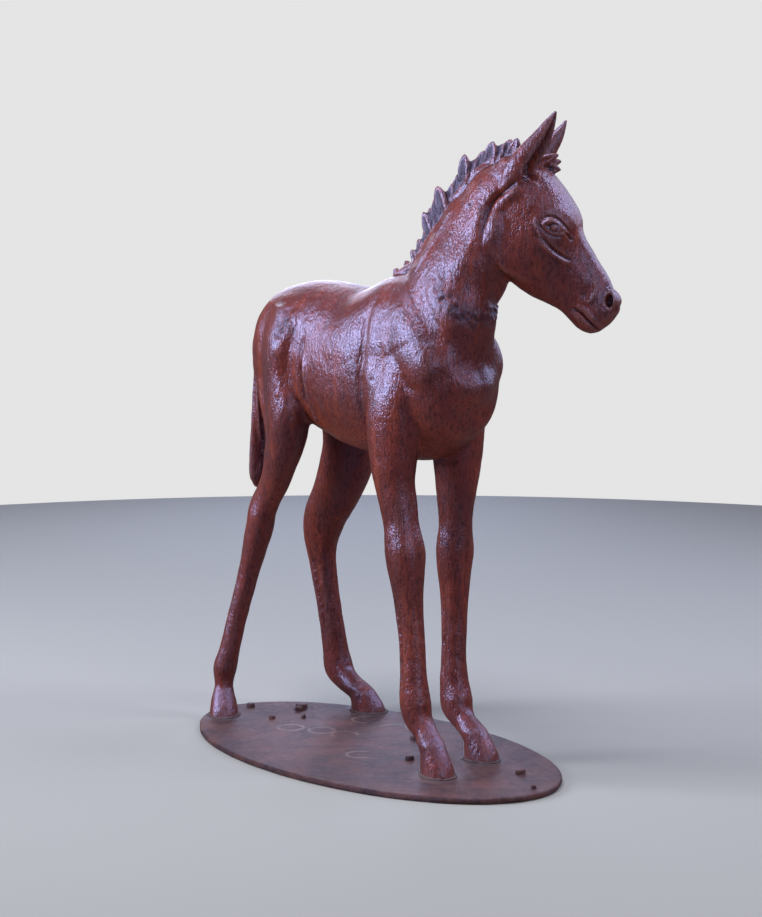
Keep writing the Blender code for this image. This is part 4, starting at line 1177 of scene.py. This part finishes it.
def plate_shape(settings):
    """The oval disc: a profile of reach and height carried once round, from the middle of the top
    over quarter-circle edges to the middle of the underside, its rim drawn in unevenly and its top
    waved by soft noise."""
    half_length, half_width = PLATE_HIGH[:2]
    angle = turns(360)
    edge = settings.rim_round
    turn = np.linspace(0, np.pi / 2, 5)
    inner = np.linspace(0.02, 0.985, 60)
    reach = np.concatenate((inner, np.full(5, 1.0), np.full(5, 1.0), (0.9, 0.5, 0.02)))
    inset = np.concatenate((0 * inner, edge * (1 - np.sin(turn)), edge * (1 - np.cos(turn)), (0, 0, 0)))
    height = np.concatenate((0 * inner + PLATE_TOP, PLATE_TOP - edge * (1 - np.cos(turn)),
                             edge * (1 - np.sin(turn)), (0, 0, 0)))
    place = np.column_stack((np.cos(angle) * half_length, np.sin(angle) * half_width, 0 * angle))
    worn = (lumps(place, 0.03, 21) + 1) * 0.5 * settings.rim_wear
    worn += (lumps(place, 0.008, 22) + 1) * 0.2 * settings.rim_wear
    shrink = 1 - (inset[:, None] + worn * eased(reach, 0.9, 1.0)[:, None]) / half_width
    x = np.cos(angle) * half_length * reach[:, None] * shrink
    y = np.sin(angle) * half_width * reach[:, None] * shrink
    rings = np.stack((x, y, height[:, None] + 0 * x), 2)[::-1]
    flat = rings.reshape(-1, 3)
    top = flat[:, 2] > PLATE_TOP * 0.8
    waves = (lumps(flat[top], 0.05, 23) + 1.1) * 0.0004
    flat[top, 2] -= waves + (lumps(flat[top], 0.012, 24) + 1) * 0.00012
    return stacked(flat.reshape(rings.shape))


def stub_shape(x, y, size, seed):
    """A rusted stud end: a low six-sided dome, whose reach at turn a is its radius times
    1 + 0.06 cos(6a + seed), pushed in and out by soft noise."""
    angle = turns(36)
    share = np.array((1.12, 1.02, 1.0, 0.96, 0.86, 0.62, 0.3, 0.05))
    level = np.array((-0.2, 0.1, 0.35, 0.72, 0.92, 1.0, 1.02, 1.03))
    radius, tall = 0.0088 * size, 0.0085 * (0.6 + 0.4 * size)
    reach = radius * share[:, None] * (1 + 0.06 * np.cos(6 * angle + seed))
    rings = np.stack((x + reach * np.cos(angle), y + reach * np.sin(angle),
                      PLATE_TOP + tall * 0.9 * level[:, None] + 0 * reach), 2)
    flat = rings.reshape(-1, 3)
    flat += unit(flat - (x, y, PLATE_TOP)) * (lumps(flat, 0.004, 30 + seed) * 0.0006)[:, None]
    flat[:, 2] = np.minimum(flat[:, 2], PLATE_HIGH[2])
    return stacked(flat.reshape(rings.shape))


def weld_shape(centre, ahead, left, seed, settings):
    """A bead of weld round a hoof: an oval section, wider than high, carried round an oval just inside
    the sole's rim, its size made uneven by soft noise."""
    turn, around = turns(120), turns(14)
    half_length = (HOOF_HALF_LENGTH * 0.97) * UNIT
    half_width = (HOOF_HALF_WIDTH * 0.97) * UNIT
    radial = np.outer(np.cos(turn), ahead) * half_length + np.outer(np.sin(turn), left) * half_width
    middle = centre + radial
    uneven = 1 + 0.5 * lumps(middle, 0.006, 40 + seed) + 0.35 * lumps(middle, 0.02, 50 + seed)
    size = settings.weld_size * uneven[:, None]
    rings = (middle[:, None] + unit(radial)[:, None] * (np.cos(around) * size * 1.3)[..., None]
             + UPWARD * (np.sin(around) * size)[..., None])
    here = np.arange(len(turn) * len(around))
    beside = next_round(here, len(around))
    later, across = ((start + len(around)) % len(here) for start in (here, beside))
    faces = np.vstack((np.stack((here, across, beside), 1), np.stack((here, later, across), 1)))
    return rings.reshape(-1, 3), faces


def hoof_places():
    """The middle of each sole on the plate, and its ahead and left directions."""
    places = []
    for stations, toe in LEGS:
        sole = crown_and_sole(stations, level_heading(toe)[0])[1]
        places.append((placed(sole[None])[0], *level_heading(toe + STAND_TURN)))
    return places


def colour_setting(name, description, default):
    """A colour that a user may change."""
    return FloatVectorProperty(name=name, description=description, default=default, subtype="COLOR",
                               min=0.0, max=1.0)


def length_setting(name, description, default, low):
    """A length that a user may change, in metres, and the least that it may be."""
    return FloatProperty(name=name, description=description, default=default, min=low,
                         subtype="DISTANCE", unit="LENGTH")


def share_setting(name, description, default, high):
    """A share that a user may change, from 0 up to the most that it may be."""
    return FloatProperty(name=name, description=description, default=default, min=0.0, max=high,
                         subtype="FACTOR")


class CastingSettings(bpy.types.PropertyGroup):
    """Sizes of the foal's casting."""

    body_voxel: length_setting("Body fineness", "Voxel that fuses the broad forms", 0.005, 0.002)
    body_easing: IntProperty(name="Body easing", description="Rounds of easing where broad forms meet",
                             default=8, min=0, max=40)
    skin_voxel: length_setting("Skin fineness", "Voxel that fuses the fine forms", 0.0024, 0.0015)
    relief: share_setting("Relief", "Depth of the carved lines, against the real ones", 1.0, 2.0)
    unevenness: share_setting("Unevenness", "Waviness of the cast skin", 1.0, 3.0)
    most_faces: IntProperty(name="Most faces", description="Faces that the finished skin may have",
                            default=188000, min=20000, max=195000)


class PlateSettings(bpy.types.PropertyGroup):
    """Sizes of the base plate."""

    rim_round: length_setting("Rim rounding", "Radius of the plate's eased edges", 0.0028, 0.0005)
    rim_wear: length_setting("Rim wear", "Depth of the nicks in the rim", 0.0011, 0.0)
    weld_size: length_setting("Weld size", "Half thickness of the beads round the hooves", 0.0028, 0.001)


class IronColours(bpy.types.PropertyGroup):
    """Colours of the iron."""

    rust: colour_setting("Rust", "The red-brown rust under the wax", (0.165, 0.028, 0.012))
    # Dark rust, also laid as painted shade in the skin's hollows and on the faces of the mane's locks.
    dark_rust_and_shade: colour_setting("Dark rust", "The darker patches and hollows", (0.110, 0.022, 0.013))
    orange: colour_setting("Orange rust", "The brighter rust below and in streaks", (0.28, 0.055, 0.020))
    worn: colour_setting("Worn iron", "Where the skin is rubbed smooth", (0.21, 0.12, 0.13))
    sheen: colour_setting("Sheen", "The tint of the wax's highlights", (0.46, 0.52, 1.0))
    plate: colour_setting("Plate rust", "The plate's brown-grey rust", (0.120, 0.042, 0.028))
    plate_dark: colour_setting("Dark plate rust", "The plate's darker patches", (0.046, 0.019, 0.014))
    plate_pale: colour_setting("Pale marks", "The plate's ring marks and bloom", (0.19, 0.115, 0.095))
    weld: colour_setting("Weld", "The grey of the weld beads", (0.15, 0.12, 0.125))
    grain: share_setting("Grain", "Strength of the fine granular relief", 0.9, 1.0)


class StageSettings(bpy.types.PropertyGroup):
    """The camera, lights and floor."""

    azimuth: FloatProperty(name="Camera azimuth", description="Angle of the view round the foal",
                           default=radians(49.81), subtype="ANGLE", unit="ROTATION")
    pitch: FloatProperty(name="Camera pitch", description="How far the camera looks down",
                         default=radians(7.4), subtype="ANGLE", unit="ROTATION")
    lens: FloatProperty(name="Lens", description="Focal length of the camera", default=64.12,
                        subtype="DISTANCE_CAMERA", unit="CAMERA")
    place: FloatVectorProperty(name="Camera place", description="Where the camera stands",
                               default=(3.484, -2.923, 1.153), subtype="TRANSLATION", unit="LENGTH")
    floor: colour_setting("Floor", "The studio floor", (0.30, 0.30, 0.30))
    backdrop: colour_setting("Backdrop", "What shows beyond the floor", (0.78, 0.78, 0.78))
    key: FloatProperty(name="Light power", description="Power that each light takes its share of",
                       default=95.0, min=0.0, subtype="POWER", unit="POWER")


class FOAL_OT_casting(bpy.types.Operator):
    """Cast the foal: trunk, legs, head, ears and mane in one skin"""

    bl_idname = "foal.casting"
    bl_label = "Foal casting"

    def execute(self, context):
        points, faces = foal_skin(context.scene.foal_casting)
        piece = new_piece("foal_casting", points, faces, waxed_rust(context.scene.foal_colours))
        raised = hollow_share(points, faces, RAISED_ROUNDS) * RAISED_SCALE
        add_share(piece.data, "raised", np.clip(raised, -1, 1))
        add_share(piece.data, "rough_seam", rough_share(laid_out(points)))
        add_share(piece.data, "mane", mane_share(laid_out(points)))
        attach(piece, "root")
        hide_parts("foal")
        return {"FINISHED"}


class FOAL_OT_plate(bpy.types.Operator):
    """Lay the oval plate, the stubs on it and the weld beads round the hooves"""

    bl_idname = "foal.plate"
    bl_label = "Oval plate"

    def execute(self, context):
        settings = context.scene.foal_plate
        material = plate_rust(context.scene.foal_colours)
        shapes = [plate_shape(settings)]
        for count, (along, aside, size) in enumerate(STUBS):
            shapes.append(stub_shape(along * PLATE_HIGH[0], aside * PLATE_HIGH[1], size, count))
        points, faces = joined(shapes)
        plate = new_piece("oval_plate", points, faces, material)
        places = hoof_places()
        reach = np.min([np.hypot(*(points - sole)[:, :2].T) for sole, _, _ in places], axis=0)
        add_share(plate.data, "weld", 1 - eased(reach, *WELD_STAIN))
        points, faces = joined([weld_shape(*place, count, settings)
                                for count, place in enumerate(places)])
        welds = new_piece("hoof_welds", points, faces, material)
        add_share(welds.data, "weld", np.ones(len(points)))
        for piece in (plate, welds):
            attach(piece, "root")
        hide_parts("base_plate")
        return {"FINISHED"}


def add_light(name, place, size, power, colour):
    """A soft round light that points at the foal's middle and that the camera doesn't see."""
    light = bpy.data.lights.new(name, "AREA")
    light.shape, light.size, light.energy, light.color = "DISK", size, power, colour
    lamp = add_object(name, light, "studio")
    lamp.location = place
    lamp.rotation_euler = (Vector(LIGHT_AIM) - Vector(place)).to_track_quat("-Z", "Y").to_euler()
    lamp.visible_camera = False


def studio_air(backdrop):
    """A world of weak light, in which the camera's own rays see a plain backdrop instead."""
    world = bpy.data.worlds.new("studio_air")
    world.use_nodes = True
    made = Nodes(world.node_tree)
    made.tree.nodes.remove(made.tree.nodes["Background"])
    lit, seen = (made.add("ShaderNodeBackground", {}, {"Color": shade(colour), "Strength": strength})
                 for colour, strength in ((AIR_COLOUR, AIR_STRENGTH), (backdrop, 1.0)))
    by_camera = made.add("ShaderNodeLightPath", {}, {}, "Is Camera Ray")
    shown = made.add("ShaderNodeMixShader", {}, {0: by_camera, 1: lit, 2: seen})
    made.set_inputs(made.tree.nodes["World Output"], {0: shown})
    return world


class FOAL_OT_stage(bpy.types.Operator):
    """Set the camera at the photograph's angle, with soft lights over a pale floor"""

    bl_idname = "foal.stage"
    bl_label = "Studio"

    def execute(self, context):
        settings = context.scene.foal_stage
        turn = turns(128)
        rim = np.column_stack((np.cos(turn), np.sin(turn), 0 * turn)) * FLOOR_RADIUS
        mesh = new_mesh("studio_floor", rim, [list(range(len(rim)))])
        mesh.materials.append(Surface("pale_floor", settings.floor).finish(Roughness=0.9))
        floor = add_object("studio_floor", mesh, "studio")
        floor.visible_glossy = False
        for name, place, size, share, colour in LIGHTS:
            add_light(name, place, size, settings.key * share, colour)
        context.scene.world = studio_air(settings.backdrop)
        context.scene.view_settings.view_transform = "Standard"
        data = bpy.data.cameras.new("photo_camera")
        data.sensor_fit, data.sensor_height, data.lens = "VERTICAL", 24.0, settings.lens
        camera = add_object("photo_camera", data, "studio")
        camera.location = settings.place
        gaze = Vector((-sin(settings.azimuth) * cos(settings.pitch),
                       cos(settings.azimuth) * cos(settings.pitch), -sin(settings.pitch)))
        camera.rotation_euler = gaze.to_track_quat("-Z", "Y").to_euler()
        context.scene.camera = camera
        return {"FINISHED"}


class FOAL_PT_panel(bpy.types.Panel):
    """The foal's operators and settings"""

    bl_idname = "FOAL_PT_panel"
    bl_label = "Cast Iron Foal"
    bl_space_type = "VIEW_3D"
    bl_region_type = "UI"
    bl_category = "Foal"

    def draw(self, context):
        for operator in (FOAL_OT_casting, FOAL_OT_plate, FOAL_OT_stage):
            self.layout.operator(operator.bl_idname)
        for group in SETTINGS:
            settings = getattr(context.scene, group)
            box = self.layout.box()
            for key in settings.bl_rna.properties.keys():
                if key not in ("rna_type", "name"):
                    box.prop(settings, key)


SETTINGS = {"foal_casting": CastingSettings, "foal_plate": PlateSettings,
            "foal_colours": IronColours, "foal_stage": StageSettings}
CLASSES = (*SETTINGS.values(), FOAL_OT_casting, FOAL_OT_plate, FOAL_OT_stage, FOAL_PT_panel)


def register():
    """Register the classes, and hang each group of settings on the scene."""
    for made in CLASSES:
        bpy.utils.register_class(made)
    for name, group in SETTINGS.items():
        setattr(bpy.types.Scene, name, PointerProperty(type=group))


def unregister():
    """Undo what register does, in the other order."""
    for name in SETTINGS:
        delattr(bpy.types.Scene, name)
    for made in reversed(CLASSES):
        bpy.utils.unregister_class(made)


def main():
    """Make the foal, its plate and the studio."""
    register()
    bpy.ops.foal.casting()
    bpy.ops.foal.plate()
    bpy.ops.foal.stage()


if __name__ == "__main__":
    main()
